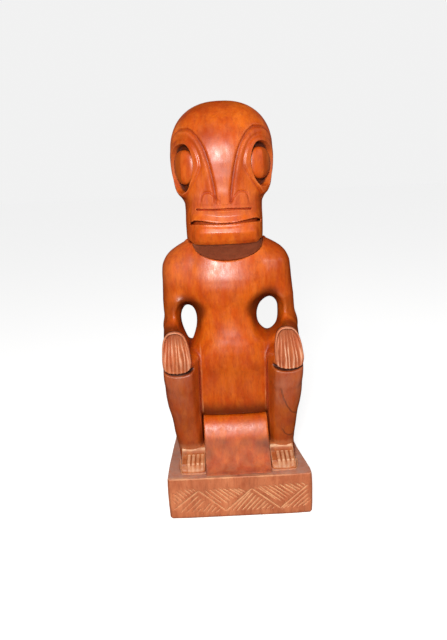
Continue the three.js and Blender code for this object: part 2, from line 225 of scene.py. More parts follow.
def carve(field, xs, ys, zs, rounds=2):
    """(vertices, quads) of the surface field = 0 on a grid of lines xs, ys, zs."""
    nx, ny, nz = len(xs), len(ys), len(zs)
    F = np.empty((nx, ny, nz), f32)
    step = max(1, int(1_200_000 / (nx * ny)))
    X, Y = np.meshgrid(xs, ys, indexing="ij")
    for k in range(0, nz, step):
        z = zs[k : k + step]
        shape = (nx, ny, len(z))
        F[:, :, k : k + step] = field(
            np.broadcast_to(X[..., None], shape).copy(),
            np.broadcast_to(Y[..., None], shape).copy(),
            np.broadcast_to(z, shape).copy(),
        )
    for face in (F[0], F[-1], F[:, 0], F[:, -1], F[:, :, 0], F[:, :, -1]):
        face[...] = np.maximum(face, 0.01)
    inside = F < 0
    cells = (nx - 1, ny - 1, nz - 1)
    total = np.zeros((4, cells[0] * cells[1] * cells[2]), f32)
    quads = []
    lines = (xs, ys, zs)
    for axis in range(3):
        a = [slice(None)] * 3
        b = [slice(None)] * 3
        a[axis], b[axis] = slice(0, -1), slice(1, None)
        fa, fb = F[tuple(a)], F[tuple(b)]
        hit = np.argwhere(inside[tuple(a)] != inside[tuple(b)])
        va, vb = fa[tuple(hit.T)], fb[tuple(hit.T)]
        t = va / (va - vb)
        p = np.stack([lines[c][hit[:, c]] for c in range(3)], 1)
        p[:, axis] += t * (lines[axis][hit[:, axis] + 1] - lines[axis][hit[:, axis]])
        u, v = (axis + 1) % 3, (axis + 2) % 3
        ring = []
        for du, dv in ((-1, -1), (0, -1), (0, 0), (-1, 0)):
            c = hit.copy()
            c[:, u] += du
            c[:, v] += dv
            ident = (c[:, 0] * cells[1] + c[:, 1]) * cells[2] + c[:, 2]
            ring.append(ident)
            for q in range(3):
                total[q] += np.bincount(ident, p[:, q], total.shape[1]).astype(f32)
            total[3] += np.bincount(ident, None, total.shape[1]).astype(f32)
        ring = np.stack(ring, 1)
        flip = va > 0
        ring[flip] = ring[flip][:, ::-1]
        quads.append(ring)
    quads = np.concatenate(quads)
    used = np.flatnonzero(total[3])
    number = np.zeros(total.shape[1], np.int64)
    number[used] = np.arange(len(used))
    quads = number[quads]
    P = (total[:3, used] / total[3, used]).T.astype(f32)
    h = 0.15
    reach = 0.45 * float(min(np.diff(xs).min(), np.diff(ys).min(), np.diff(zs).min()))
    for _ in range(rounds):
        f, g = slope(field, P, h)
        move = g * (f / np.maximum((g * g).sum(1), 0.05))[:, None]
        size = np.linalg.norm(move, axis=1)
        P = P - move * np.minimum(1, reach / np.maximum(size, 1e-6))[:, None]
    return P, quads


def slope(field, P, h=0.15):
    f = field(P[:, 0], P[:, 1], P[:, 2])
    g = np.empty_like(P)
    for c in range(3):
        q = P.copy()
        q[:, c] += h
        r = P.copy()
        r[:, c] -= h
        g[:, c] = (field(q[:, 0], q[:, 1], q[:, 2]) - field(r[:, 0], r[:, 1], r[:, 2])) / (
            2 * h
        )
    return f, g


def relief(P, quads, rounds):
    """How far each vertex stands out from its surroundings (mm), over a neighbourhood set by rounds."""
    e = np.concatenate(
        [quads[:, [0, 1]], quads[:, [1, 2]], quads[:, [2, 3]], quads[:, [3, 0]]]
    )
    n = len(P)
    count = np.maximum(np.bincount(e[:, 0], None, n) + np.bincount(e[:, 1], None, n), 1)
    normal = np.cross(P[quads[:, 2]] - P[quads[:, 0]], P[quads[:, 3]] - P[quads[:, 1]])
    N = np.zeros((n, 3))
    for c in range(4):
        for q in range(3):
            N[:, q] += np.bincount(quads[:, c], normal[:, q], n)
    N /= np.maximum(np.linalg.norm(N, axis=1), 1e-9)[:, None]
    S = P.astype(float).copy()
    for _ in range(rounds):
        T = np.empty_like(S)
        for q in range(3):
            T[:, q] = (
                np.bincount(e[:, 0], S[e[:, 1], q], n) + np.bincount(e[:, 1], S[e[:, 0], q], n)
            ) / count
        S = 0.35 * S + 0.65 * T
    return ((P - S) * N).sum(1), N


def mesh(name, P, quads, material, replaces, masks=None):
    out1, _ = relief(P, quads, 5)
    out2, N = relief(P, quads, 30)
    data = bpy.data.meshes.new(name)
    data.vertices.add(len(P))
    data.vertices.foreach_set("co", (P / 1000).astype(f32).ravel())
    data.loops.add(len(quads) * 4)
    data.loops.foreach_set("vertex_index", quads.astype(np.int32).ravel())
    data.polygons.add(len(quads))
    data.polygons.foreach_set("loop_start", np.arange(0, len(quads) * 4, 4, dtype=np.int32))
    data.polygons.foreach_set("loop_total", np.full(len(quads), 4, np.int32))
    data.update(calc_edges=True)
    data.validate()
    data.polygons.foreach_set("use_smooth", np.ones(len(data.polygons), bool))
    values = {"edge": out1 / 0.18, "hollow": out2 / 0.9}
    x = (P[:, 0], P[:, 1], P[:, 2])
    for key in ("raw_and_highlight", "grain", "dark_tone_and_shade", "deep", "dust_and_highlight", "dull"):
        values[key] = masks[key](*x) if masks and key in masks else np.zeros(len(P))
    for key, v in values.items():
        data.attributes.new(key, "FLOAT", "POINT").data.foreach_set(
            "value", np.clip(v, -3, 3).astype(f32)
        )
    piece = bpy.data.objects.new(name, data)
    bpy.context.scene.collection.objects.link(piece)
    data.materials.append(material)
    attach(piece, "root")
    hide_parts(*replaces)
    print("piece", name, len(P), "vertices", len(quads), "quads")
    return piece


# ------------------------------------------------------------------ the figure's trunk and limbs
TRUNK = dense([
    [89.6, 41, -20, 40, 3.8],
    [92.5, 43, -23.2, 41, 3.8],
    [96, 46, -25.6, 43, 3.7],
    [104, 49, -27.8, 46, 3.6],
    [118, 50, -29, 47, 3.4],
    [134, 50, -29, 46, 3.1],
    [148, 49, -30.8, 43, 2.9],
    [158, 45, -31.2, 39, 2.7],
    [166, 40, -30.4, 35.5, 2.6],
    [175, 34.5, -28.6, 33, 2.5],
    [186, 30.8, -26.6, 31.5, 2.4],
    [194, 30, -26.0, 31.5, 2.4],
    [203, 32.5, -26.6, 32.5, 2.4],
    [212, 41, -27.8, 34.5, 2.5],
    [222, 50, -28.6, 36.5, 2.5],
    [231, 54.5, -27.8, 38, 2.5],
    [239, 55.5, -26.2, 38, 2.45],
    [246, 54.5, -24.2, 37, 2.4],
    [252, 52, -22.4, 35, 2.35],
    [258, 49, -20.6, 32.5, 2.3],
    [264, 44.5, -18.6, 29, 2.2],
    [268, 40, -17, 26, 2.15],
    [271, 36.5, -15.5, 24, 2.1],
])
# upper arm by height: middle x, middle y, half width, half depth
UPPER = dense([
    [166, 58, 9.5, 4.5, 5.5],
    [171, 58.6, 10, 8.4, 10],
    [181, 59.0, 10, 9.4, 13.5],
    [192, 58.2, 9, 9.0, 15],
    [205, 57.2, 8, 9.4, 17],
    [217, 54.4, 7, 11.6, 20],
    [230, 50.8, 6, 14.2, 23],
    [240, 48.6, 5.5, 15.8, 24],
    [248, 46.2, 5.5, 17, 23.5],
    [254, 43.7, 6, 16.6, 21],
    [259, 41, 7, 14.8, 17.5],
    [263, 38.6, 8, 11.2, 13],
    [266, 36.2, 9, 7.6, 9],
    [268.4, 34, 9, 4.2, 5],
])
# forearm by y: middle x, middle z, half width, half height
FORE = dense([
    [-47, 54.4, 173.8, 10.4, 10.6],
    [-40, 54.8, 175.0, 10.4, 10.8],
    [-30, 56.0, 177.0, 10.2, 11.2],
    [-16, 57.4, 179.0, 9.8, 11.6],
    [0, 58.4, 180.0, 9.6, 11.6],
    [12, 58.6, 180.4, 9.0, 10],
    [20, 58.4, 181, 6, 6.5],
])
# thigh by y: middle x, middle z, half width, half height
THIGH = dense([
    [-50, 50.6, 146, 15.8, 17.2],
    [-40, 50.8, 147.4, 16.8, 19.0],
    [-26, 50.6, 147.6, 17.0, 19.4],
    [-10, 49.4, 147, 16.8, 19.2],
    [4, 46.5, 145, 15.8, 18],
    [16, 42, 141, 13.6, 16],
    [26, 38, 137, 10, 12],
])
# shin by height: inner x, outer x, front y, back y, squareness
SHIN = dense([
    [42, 34.2, 59.0, -37.5, -7.6, 2.8],
    [54, 34.2, 58.9, -33.0, -7.6, 2.8],
    [60, 34.4, 58.6, -33.2, -7.8, 2.8],
    [64, 34.3, 58.6, -34.6, -8, 2.8],
    [69, 34.1, 59.1, -37.0, -8, 2.8],
    [76, 34.0, 59.9, -39.4, -8.2, 2.9],
    [84, 33.9, 61.2, -41.0, -8.4, 3.0],
    [100, 33.8, 63.8, -44.4, -8.6, 3.0],
    [112, 33.7, 66.2, -47.0, -8.6, 3.0],
    [124, 33.6, 67.6, -48.6, -8.4, 3.0],
    [136, 33.6, 68.0, -49.2, -8, 2.9],
    [146, 33.8, 67.6, -48.6, -8, 2.8],
    [158, 34.5, 66.8, -46.5, -10, 2.6],
])


# outlines of the openings between waist and arm, front view: x from the middle line, z
GAP_LEFT = ring_of([(40.4, 209.2), (46.6, 206.6), (49.7, 198.0), (47.2, 180.8), (38.4, 172.6), (29.9, 179.6), (27.8, 191.8), (32.0, 203.4)])
GAP_RIGHT = ring_of([(-42.0, 204.4), (-36.4, 201.6), (-33.7, 192.3), (-35.8, 178.4), (-42.8, 165.6), (-48.8, 179.6), (-49.8, 191.3), (-47.0, 200.0)])


def arms(ax, y, z):
    x, m, a, b = look(z, UPPER)
    upper = section(ax - x, y - m, a, b, 2.3)
    upper = smax(smax(upper, z - 268.2, 2), 166.5 - z, 2)
    x, m, a, h = look(y, FORE)
    fore = section(ax - x, z - m, a, h, 2.3)
    fore = smax(smax(fore, y - 20, 3), -46.2 - y, 0.6)
    return smin(upper, fore, 6)


def legs(ax, y, z):
    x, m, a, h = look(y, THIGH)
    thigh = section(ax - x, z - m, a, h, 2.7)
    thigh = smax(smax(thigh, y - 25, 3), -47.4 - y, 5)
    thigh = smax(thigh, -0.926 * (ax - 40.4) - 0.376 * (y + 46.0), 2.5)
    x0, x1, yf, yb, n = look(z, SHIN)
    shin = section(ax - (x0 + x1) / 2, y - (yf + yb) / 2, (x1 - x0) / 2, (yb - yf) / 2, n)
    shin = smax(smax(shin, z - 157, 6), 44.2 - z, 0.4)
    # its inner corner is taken off in one long facet
    shin = smax(shin, -0.926 * (ax - 39.6 + 0.05 * (100 - z)) - 0.376 * (y - yf - 0.4), 1.6)
    both = smin(thigh, shin, 5)
    # the cut under the hand, and the flat that the hand lies on
    both = smax(both, np.where(z > 148.4, -46.2 - y, -99).astype(f32), 0.5)
    rise = z - (147.3 + 0.016 * (ax - 53.4) ** 2)
    under = bump(np.where(rise < 0, rise / 3.4, rise / 3.2), 1.0) * ramp(-y, 36, 44) * ramp(ax, 37, 40.5)
    return both + 3.8 * under


def collar(lx, z):
    """Outline of the hollow under the chin, seen from the front."""
    return section(lx - 3.0, z - 271.0, 34.2, 20.2, 2.05)


def figure(x, y, z):
    lx = x - sway(z)
    ax = np.abs(lx)
    right = ramp(lx, -4, 4)  # the figure's left side, on the viewer's right
    a, yf, yb, n = look(z, TRUNK)
    waist = bump(z - 192, 26) * -2.2
    trunk = section(lx - waist, y - (yf + yb) / 2, a, (yb - yf) / 2, n)
    trunk = smax(smax(trunk, z - 269.8, 2.0), 92.2 - z, 1.2)
    # the median dip of the belly
    trunk = trunk + 0.5 * bump(lx + 1.5, 7) * ramp(-z, -172, -150) * ramp(z, 118, 132) * ramp(-y, 5, 15)
    arm = arms(ax, y, z)
    # the shin on the viewer's left stands a little further out
    leg = legs(ax - 1.9 * ramp(-lx, 44, 56) * bump(z - 70, 30), y, z)
    body = smin(trunk, arm, 8.5)
    k = 0.9 + 6.5 * np.maximum(ramp(z, 144, 188), ramp(y, -22, -4))
    body = smin(body, leg, k)
    # the web of wood that the openings are cut through
    dx, dy = ax - 48, np.abs(y - 4.5) - 11
    web = np.hypot(np.maximum(dx, 0), np.maximum(dy, 0)) + np.minimum(np.maximum(dx, dy), 0) - 11.5
    web = smax(web + 0.5 * np.maximum(z - 212, 0), 152 - z, 4)
    body = smin(body, web, 10)
    # the open space between waist and arm, wider at its mouths
    for outline, lo, hi in ((GAP_LEFT, 4, 70), (GAP_RIGHT, -70, -4)):
        sel = (lx > lo) & (lx < hi) & (z > 146) & (z < 246)
        if sel.any():
            Y = y[sel]
            over = ramp(z[sel], 186, 204)
            within = 1 - ramp(ax[sel], 34, 44)
            wide = 0.0035 + 0.0225 * over + 0.010 * within * (1 - over)
            behind = 0.0045 + 0.0055 * (1 - ramp(z[sel], 176, 196))
            flare = np.where(Y < 3, wide, behind) * (Y - 3) ** 2
            flare = 13.0 * (1 - np.exp(-flare / 13.0))
            d = outline_distance(lx[sel], z[sel], outline) - flare
            body[sel] = smax(body[sel], -d * 0.85, 3.4)
    # the narrow cut between the front panel and each leg
    slot = smax(np.abs(ax - 33.5) - 0.8, y + 24 + 6.2 * ramp(z, 134, 160), 0.6)
    slot = smax(slot, z - 162, 5)
    body = smax(body, -slot, 0.5)
    # the throat: everything above the collar's curve, in front
    throat = smax(collar(lx, z), y - 32.5, 1.0)
    body = smax(body, -throat, 0.7)
    # tool facets at the crook of the arm and the wrist
    facet = ramp(-np.abs(z - 192), -14, -5) * ramp(-y, 4, 14) * ramp(ax, 40, 46)
    body = body + 0.45 * facet * noise(x, y, z, 6.0, 3.0)
    return body + 0.16 * noise(x, y, z, 17.0) + 0.05 * noise(x, y, z, 6.0, 9.0)


# ------------------------------------------------------------------ throat and nape
NECK = dense([
    [240, 37.0, -10.0, 30.5, 2.6],
    [246, 37.2, -15.0, 30.5, 2.6],
    [250, 37.3, -18.6, 31.0, 2.6],
    [255, 37.2, -23.6, 31.6, 2.7],
    [260, 37.0, -29.4, 32.2, 2.8],
    [265, 36.6, -35.6, 33.0, 2.9],
    [270.2, 36.2, -42.6, 34.0, 3.0],
])


def neck(x, y, z):
    lx = x - sway(z)
    a, yf, yb, n = look(z, NECK)
    d = section(lx, y - (yf + yb) / 2, a, (yb - yf) / 2, n)
    d = smax(smax(d, z - 270.3, 0.3), 244 - z, 0.5)
    return smax(d, collar(lx, z) + 0.35, 0.3) + 0.1 * noise(x, y, z, 14.0)


# ------------------------------------------------------------------ head
HEAD = dense([
    [268, 35.6, -42.6, 34.0, 3.1],
    [270.5, 36.1, -44.0, 34.6, 3.2],
    [274, 36.5, -45.6, 36.0, 3.4],
    [281, 36.8, -46.4, 38.4, 3.4],
    [290, 37.0, -46.4, 40.4, 3.3],
    [299, 36.9, -45.8, 42.2, 3.1],
    [306, 37.2, -45.2, 43.4, 3.0],
    [311, 39.4, -44.6, 44.2, 2.9],
    [316, 43.6, -44.0, 44.8, 2.8],
    [322, 46.2, -43.6, 45.4, 2.7],
    [332, 47.8, -43.9, 46.0, 2.55],
    [342, 48.6, -43.9, 46.0, 2.45],
    [349, 48.9, -43.6, 45.8, 2.4],
    [356, 49.0, -42.7, 45.4, 2.4],
    [364, 49.0, -41.4, 44.6, 2.4],
    [375, 49.0, -39.6, 43.4, 2.4],
    [420, 49.0, -35.0, 40.0, 2.4],
])
# the line from the nostril up beside the nose and over the eye: distance round the head, height
BROW = curve([
    [6.0, 306.5],
    [6.3, 312],
    [7.6, 322],
    [10.0, 336],
    [12.6, 347],
    [16.0, 356.5],
    [21.0, 364.5],
    [28.0, 371.0],
    [36.5, 374.6],
    [46.0, 374.4],
    [55.0, 370.6],
    [63.0, 363.0],
    [68.5, 352.0],
    [70.5, 340.0],
    [68.5, 327.0],
    [64.0, 317.0],
    [56.0, 308.0],
])
WING = curve([[5.2, 306.9], [7.8, 310.6], [10.8, 314.2], [14.4, 316.7], [17.8, 316.4], [20.2, 314.0], [21.4, 310.0]], 24)
EYE_S, EYE_Z = 38.2, 341.0
# how deep the wood lies across the brow's groove, from the forehead (-) to the eye (+)
GROOVE_AT = [-2.0, -1.1, 0.0, 1.1, 2.3, 3.1, 4.6, 7.5, 11.0]
GROOVE = [0.0, 0.4, 2.0, 1.95, 0.65, 0.0, 0.0, 0.0, 0.0]
CHEEK = [0.0, 0.0, 0.0, 0.15, 0.22, 0.3, 0.65, 1.35, 1.7]


def round_head(lx, y):
    """Distance round the head from the middle of the face, mm."""
    return 45.0 * np.arctan2(np.abs(lx), -(y - 2.0))


def head_base(lx, y, z):
    a, yf, yb, n = look(z, HEAD)
    m, b = (yf + yb) / 2, (yb - yf) / 2
    up = np.maximum(z - 352, 0)
    rho = ((np.abs(lx) / a) ** n + (np.abs(y - m) / b) ** n) ** (2.32 / n) + (up / 48.0) ** 2.32
    rho = rho ** (1 / 2.32)
    r = np.sqrt(lx * lx + (y - m) ** 2 + up * up)
    d = r * (1 - 1 / np.maximum(rho, 0.02))
    under = 270.6 + 0.10 * np.maximum(np.abs(lx - 1.0) - 28.0, 0) ** 2 * ramp(-y, 12, 34)
    return smax(d, np.minimum(under, 278) - z, 1.0)


def head_relief(lx, y, z):
    """How deep the carving goes below the plain head, mm."""
    s = round_head(lx, y)
    ax = np.abs(lx)
    front = ramp(-y, -6, 6)
    D = np.zeros(s.shape, f32)
    sel = (y < 30) & (z > 298) & (z < 384)
    if sel.any():
        S, Z = s[sel], z[sel]
        dist, side = near(S, Z, BROW)
        sd = dist * side  # + on the eye's side
        low = ramp(Z, 305.0, 309.5)
        wash = ramp(Z, 297, 319)
        fade = 1 - ramp(S, 46, 66)
        # the brow's edge stands over a groove, beyond which the cheek lies lower than the forehead
        d = np.interp(sd, GROOVE_AT, GROOVE) * low + np.interp(sd, GROOVE_AT, CHEEK) * wash
        d = d.astype(f32) * (0.25 + 0.75 * fade)
        # the band round the eye: egg shaped, pointed below
        ds, dz = S - 40.4, Z - EYE_Z
        u = np.clip(-dz, 0, 28)
        wide = 20.1 * (1 - 0.0150 * u - 0.00022 * u * u)
        wide = wide * np.where(ds > 0, 1.19, 1.0)
        ring = (np.abs(ds / wide) ** 2.15 + np.abs(dz / np.where(dz > 0, 24.2, 28.2)) ** 2.0) ** 0.5
        away = (ring - 1) * 19.0
        band = 1 - ramp(away, -1.3, 0.6)
        lobe = ramp(-dz, 10, 26)
        d = d - band * (0.95 + 2.3 * lobe) + 0.45 * bump(away - 1.4, 1.9) * (1 - ramp(S, 46, 56))
        # the opening with the eyeball in it: two flats that meet in a ridge, a deep cut above and below
        ds = S - EYE_S
        # the eye on the viewer's left reaches further down
        dz = np.where((dz < 0) & (lx[sel] < 0), dz * 0.85, dz)
        hole = (np.abs(ds / (np.where(ds > 0, 21.6, 12.1) * (1 - 0.10 * np.clip(-dz / 12, 0, 1)))) ** 2.1 + np.abs(dz / 20.3) ** 2.05) ** 0.5
        deep = 1 - ramp((hole - 1) * 12, -1.1, 0.3)
        ball = ((np.abs(ds - 0.3) / np.where(ds > 0.3, 20.4, 12.2)) ** 2.2 + (np.abs(dz - 0.7) / 14.8) ** 2.1) ** (1 / 2.15)
        keep = np.sqrt(np.clip(1 - ball**7, 0, 1))
        flat = 0.9 + np.where(ds > 0.8, 0.03, 0.25) * (np.sqrt((ds - 0.8) ** 2 + 0.12) - 0.35) + 0.0035 * dz**2 + d
        d = d + deep * (7.4 - d) - deep * (7.4 - np.minimum(flat - d, 7.0)) * keep
        D[sel] += d
    sel = front.astype(bool) & (z > 262) & (z < 342) & (y < 0)
    if sel.any():
        X, Z = lx[sel], z[sel]
        A = np.abs(X)
        M = Z + 0.021 * X  # the mouth is cut a little out of level
        B = np.abs(X - 1.3)  # and a little off the middle
        d = np.zeros(X.shape, f32)
        # nostrils: lobes that stand out below an arched edge and fade into the lip
        dist, side = near(B, Z, WING)
        sd = dist * side
        lobe = ramp(sd, -0.4, 0.8) * ramp(Z, 300, 314) * (1 - ramp(B, 20.5, 25.5))
        d = d - 0.9 * lobe * (1 - ramp(sd, 3, 12))
        d = d + 0.8 * bump(sd + 0.9, 1.6) * (1 - ramp(B, 20, 25)) * ramp(Z, 304, 311)
        # nose: fuller towards its tip
        d = d - 0.5 * (1 - ramp(A, 2.0, 9.0)) * ramp(Z, 290, 316) * (1 - ramp(Z, 316, 340))
        # upper lip: slot, hollow under it, ridge over the mouth
        slot = np.hypot(np.maximum(A - 24.4, 0), M - 301.8 - 0.25 * np.sin(X * 0.16))
        d = d + 3.2 * (1 - ramp(slot, 0.5, 1.15))
        low = 288.25 + 0.85 * ramp(B, 2, 22) - 0.6 * ramp(B, 26, 32)
        high = 289.7 + 2.9 * ramp(B, 4, 27) - 1.9 * ramp(B, 28.5, 32.5)
        lip = smax(B - 32.2 + 0.05 * np.maximum(M - 296, 0) ** 2, np.maximum(M - 304.0, low - Z), 4)
        swell = np.interp(M - (high - 290.3), [288, 289.8, 291.3, 293.5, 296.3, 299, 301.2, 304], [1.0, 1.45, 1.45, 0.55, -0.45, -0.2, 0.25, 0.0])
        d = d - swell.astype(f32) * (1 - ramp(lip, -1.6, 0.9))
        d = d + 0.35 * bump(lip - 1.2, 1.8) * ramp(M, 291, 295)
        # mouth: a thin line in the middle, wedges at its ends
        inside = np.minimum(np.minimum(Z - low, high - Z), (32.4 - B) * 0.8)
        d = d + (3.0 + 2.0 * ramp(B, 10, 26)) * ramp(inside, -0.35, 0.5)
        # lower lip: rises from the mouth to an edge, then the chin falls back
        box = smax(B - 31.6, Z - (low - 0.5), 11)
        on = 1 - ramp(box, -3.2, 0.6)
        face = np.interp(M, [268, 271.0, 280.2, 281.5, 287.8, 291], [0.2, 0.9, 2.35, 2.35, 0.2, 0.0]).astype(f32)
        d = d - on * face * (1 - 0.3 * ramp(A, 22, 33))
        D[sel] += d
    return D


def head(x, y, z):
    lx = x - sway(z)
    d = head_base(lx, y, z) + head_relief(lx, y, z)
    return d + 0.08 * noise(x, y, z, 16.0, 2.0) + 0.035 * noise(x, y, z, 6.0, 5.0)


def head_painted_shade(x, y, z):
    """Painted shade: black in the eye sockets and the mouth, brown along the brow's groove, darker in the band round
    the eye and on the sides of the head.
    """
    lx = x - sway(z)
    dist, side = near(round_head(lx, y), z, BROW)
    groove = 0.24 * bump(dist * side - 0.7, 1.9) * (y < 0) * (z > 306)
    s = round_head(lx, y)
    depth = head_relief(lx, y, z)
    outer = 0.20 * ramp(s, 38.6, 40.2) * (1 - ramp(s, 58, 62)) * (np.abs(z - EYE_Z) < 16) * (depth > 0.5)
    rim = 0.30 * ramp(s, 55, 60) * (1 - ramp(s, 66, 76)) * ramp(z, 306, 316) * (1 - ramp(z, 352, 364)) * (y < 12)
    B = np.abs(lx - 1.3)
    M = z + 0.021 * lx
    mouth = 0.36 * (1 - ramp(np.abs(M - (290.0 + 0.9 * ramp(B, 6, 26))), 1.4, 3.8)) * ramp(depth, 0.5, 2.4) * (B < 33) * (y < 0)
    return np.maximum(np.maximum(0.9 * ramp(depth, 3.4, 6.0), groove), np.maximum(np.maximum(outer, rim), mouth))


def head_dull(x, y, z):
    """The eye sockets and the sides of the head were never rubbed bright."""
    s = round_head(x - sway(z), y)
    dist, side = near(s, z, BROW)
    ridge = 0.6 * bump(dist * side - 3.2, 2.6) * (y < 0) * (z > 304)
    foot = 0.8 * ramp(-z, -320, -312) * (1 - ramp(-z, -300, -296)) * (s < 30) * (y < 0)
    return np.maximum(np.maximum(0.8 * ramp(s, 42, 52) * (y < 20), ridge), foot)


# ------------------------------------------------------------------ hands
HAND = curve(
    [
        [0, 190.6], [4.4, 189.9], [8.0, 187.4], [10.6, 183.0], [12.2, 176.5], [13.2, 168.5],
        [13.7, 161.0], [13.3, 155.2], [11.4, 151.8], [7.8, 149.7], [0, 148.6],
    ],
    50,
)


def hand_x(x, z, sign):
    """Distance from the hand's middle line, + outwards."""
    return (x - sway(z)) * sign - 53.6 + 0.03 * (z - 170) * (1 if sign > 0 else 0.6)


def finger_wave(lx, z, sign):
    """1 on the crest of each finger, 0 in the furrows, which wander a little."""
    t = lx / (0.74 + 0.26 * ramp(-z, -186, -158)) + 0.35 * np.sin(z * 0.16 + lx * 0.7 + sign) + 0.3 * np.sin(lx * 0.9 + 1.3)
    return 0.5 + 0.5 * np.cos(2 * np.pi * (t + 0.3) / 3.75)


def hand_marks(sign):
    """Two masks: the rim and the fingers' crests are rubbed pale; painted shade darkens the furrows, the top of the
    arch and the hand's sides.
    """

    def parts(x, z):
        lx = hand_x(x, z, sign)
        dist, side = near(np.abs(lx), z, HAND)
        rim = (1 - ramp(dist, 0.9, 2.4)) * ramp(z, 153, 162)
        return rim, finger_wave(lx, z, sign)

    def lightened(x, y, z):
        rim, wave = parts(x, z)
        patchy = ramp(noise(x, y, z * 0.35, 5.0, 3.0), -0.35, 0.6)
        crest = ramp(wave, 0.45, 0.95) * (1 - ramp(z, 168, 186)) * (0.25 + 0.75 * patchy)
        return np.maximum(rim * (0.12 + 0.22 * patchy), (0.9 if sign > 0 else 0.75) * crest * (1 - rim)) * (y < -49.5)

    def darkened(x, y, z):
        rim, wave = parts(x, z)
        # painted shade under the arch, in the furrows, and on the sides where the hand meets the body
        arch = ramp(z, 174, 186) * (1 - rim)
        furrow = (1 - ramp(wave, 0.0, 0.4)) * (1 - rim)
        return np.maximum(0.22 * furrow, 0.32 * arch) * (y < -49) + 0.8 * (y > -49.4)

    return lightened, darkened


def hand_for(sign):
    def hand(x, y, z):
        lx = hand_x(x, z, sign)
        A = np.abs(lx)
        dist, side = near(A, z, HAND)
        flat = dist * -side  # negative inside the outline
        bulge = 1.2 * np.clip(1 - (lx / 14) ** 2, 0, 1)
        top = ramp(z, 176, 190)
        face = -53.0 + 0.9 * ramp(-z, -160, -149) + 0.8 * top
        # rim, hollow palm under its arch, and the fingers' ridges running to the lower edge
        rim = 1 - ramp(-flat, 1.1, 2.6)
        rim = np.maximum(rim * ramp(z, 153, 162), 0.25 * (1 - ramp(-flat, 0.4, 2.6)))
        hollow = (1 - rim) * (0.7 + 2.6 * ramp(z, 160, 187))
        wave = finger_wave(lx, z, sign)
        fingers = (1 - rim) * (1.05 + 0.3 * noise(x, y, z, 6.0, 7.0)) * (1 - wave**0.8) * (1 - 0.6 * ramp(z, 176, 186))
        front = face - y + hollow + fingers - bulge
        back = y + 46.0
        d = smax(flat, front, 1.3)
        d = smax(d, back, 0.6)
        return d + 0.07 * noise(x, y, z, 5.0, 4.0)

    return hand


# ------------------------------------------------------------------ feet
def foot_x(x, y, z, sign):
    """Distance from the foot's middle line, + outwards."""
    return (x - sway(z)) * sign - 45.6 + 0.06 * (y + 50)


def toes_across(x, y, z, sign):
    """(distance from the middle of the toes towards the viewer's right, 1 on each toe's crest and 0 in the furrows)."""
    u = foot_x(x, y, z, sign) * sign - 2.2
    return u, np.abs(np.sin(np.pi * u / 4.5))


def foot_marks(sign):
    """Two masks: the toes' crests are rubbed pale and the ankle's crease is paler, with a painted highlight on the
    toes' tips; painted shade darkens the furrows between the toes, and the foot beside the toes and the instep are a
    little darker.
    """

    def lightened(x, y, z):
        u, wave = toes_across(x, y, z, sign)
        patchy = ramp(noise(x, y, z, 4.0, 3.0), -0.4, 0.5)
        on = 1 - ramp(np.abs(u), 8.8, 9.6)
        crest = ramp(wave, 0.40, 0.85) * ramp(-y, 36.5, 38) * on * (0.22 + 0.22 * patchy)
        # painted highlight: bright spots at the toes' tips and where the toes begin
        tips = on * ramp(wave, 0.5, 0.9) * np.maximum(bump(y + 37.8, 0.9), bump(y + 47.0, 1.0)) * 0.75
        crest = np.maximum(np.maximum(crest, tips), 0.22 * ramp(-y, 47.0, 48.4) * (0.4 + 0.8 * patchy))
        crease = bump(y + 33.2, 1.9) * (0.35 + 0.5 * patchy)
        side = ramp(np.abs(foot_x(x, y, z, sign)), 10.6, 11.6) * 0.35 * ramp(z, 47, 50)
        return np.maximum(np.maximum(crest, crease), side) * (z > 44.6)

    def darkened(x, y, z):
        u, wave = toes_across(x, y, z, sign)
        on = 1 - ramp(np.abs(u), 9.0, 9.6)
        # painted shade in the furrows between the toes
        furrow = 0.42 * (1 - ramp(wave, 0.05, 0.5)) * ramp(-y, 36.5, 38) * (y > -47.5) * on
        return np.maximum(furrow, 0.16 * (1 - on) * (y > -47.5) + 0.12 * ramp(-y, 34, 36) * (y > -37.5))

    return lightened, darkened


def foot_for(sign):
    def foot(x, y, z):
        lx = foot_x(x, y, z, sign)
        toes = ramp(-y, 36.2, 38.2)
        half = 11.9 + 0.3 * ramp(-y, 40, 50) - 0.5 * ramp(-y, 47, 51.5)
        side = np.abs(lx) - half
        front = -51.6 - y + 0.008 * lx * lx
        lift = np.interp(-y, [0, 30, 32.5, 36, 41, 46.4, 47.4, 51.8], [19, 18.8, 17.6, 13.4, 10.8, 8.2, 6.8, 1.6]).astype(f32)
        u, wave = toes_across(x, y, z, sign)
        on = 1 - ramp(np.abs(u), 8.9, 9.9)
        ridge = (1.25 * (1 - wave**0.6) * on + 0.9 * (1 - on)) * toes * (1 - 0.45 * ramp(-y, 47, 50))
        roof = (z - 44 - lift + ridge) * 0.86
        d = smax(smax(side, front, 2.0), roof, 1.2)
        d = smax(d, y + 11, 1)
        d = smax(d, 43.6 - z, 0.2)
        return d + 0.08 * noise(x, y, z, 5.0, 6.0)

    return foot


# ------------------------------------------------------------------ seat
RAMP = dense([
    [43.6, -62.4], [44.3, -60.0], [45.0, -55.6], [46.2, -51.4], [48.2, -48], [51, -44.9], [55, -42.0], [60, -39.6],
    [66, -37.3], [72, -35.4], [76, -33.9], [80, -32.1], [84, -29.9], [87, -27.8], [89.6, -25.4], [91.2, -23.0], [92, -19.0],
])


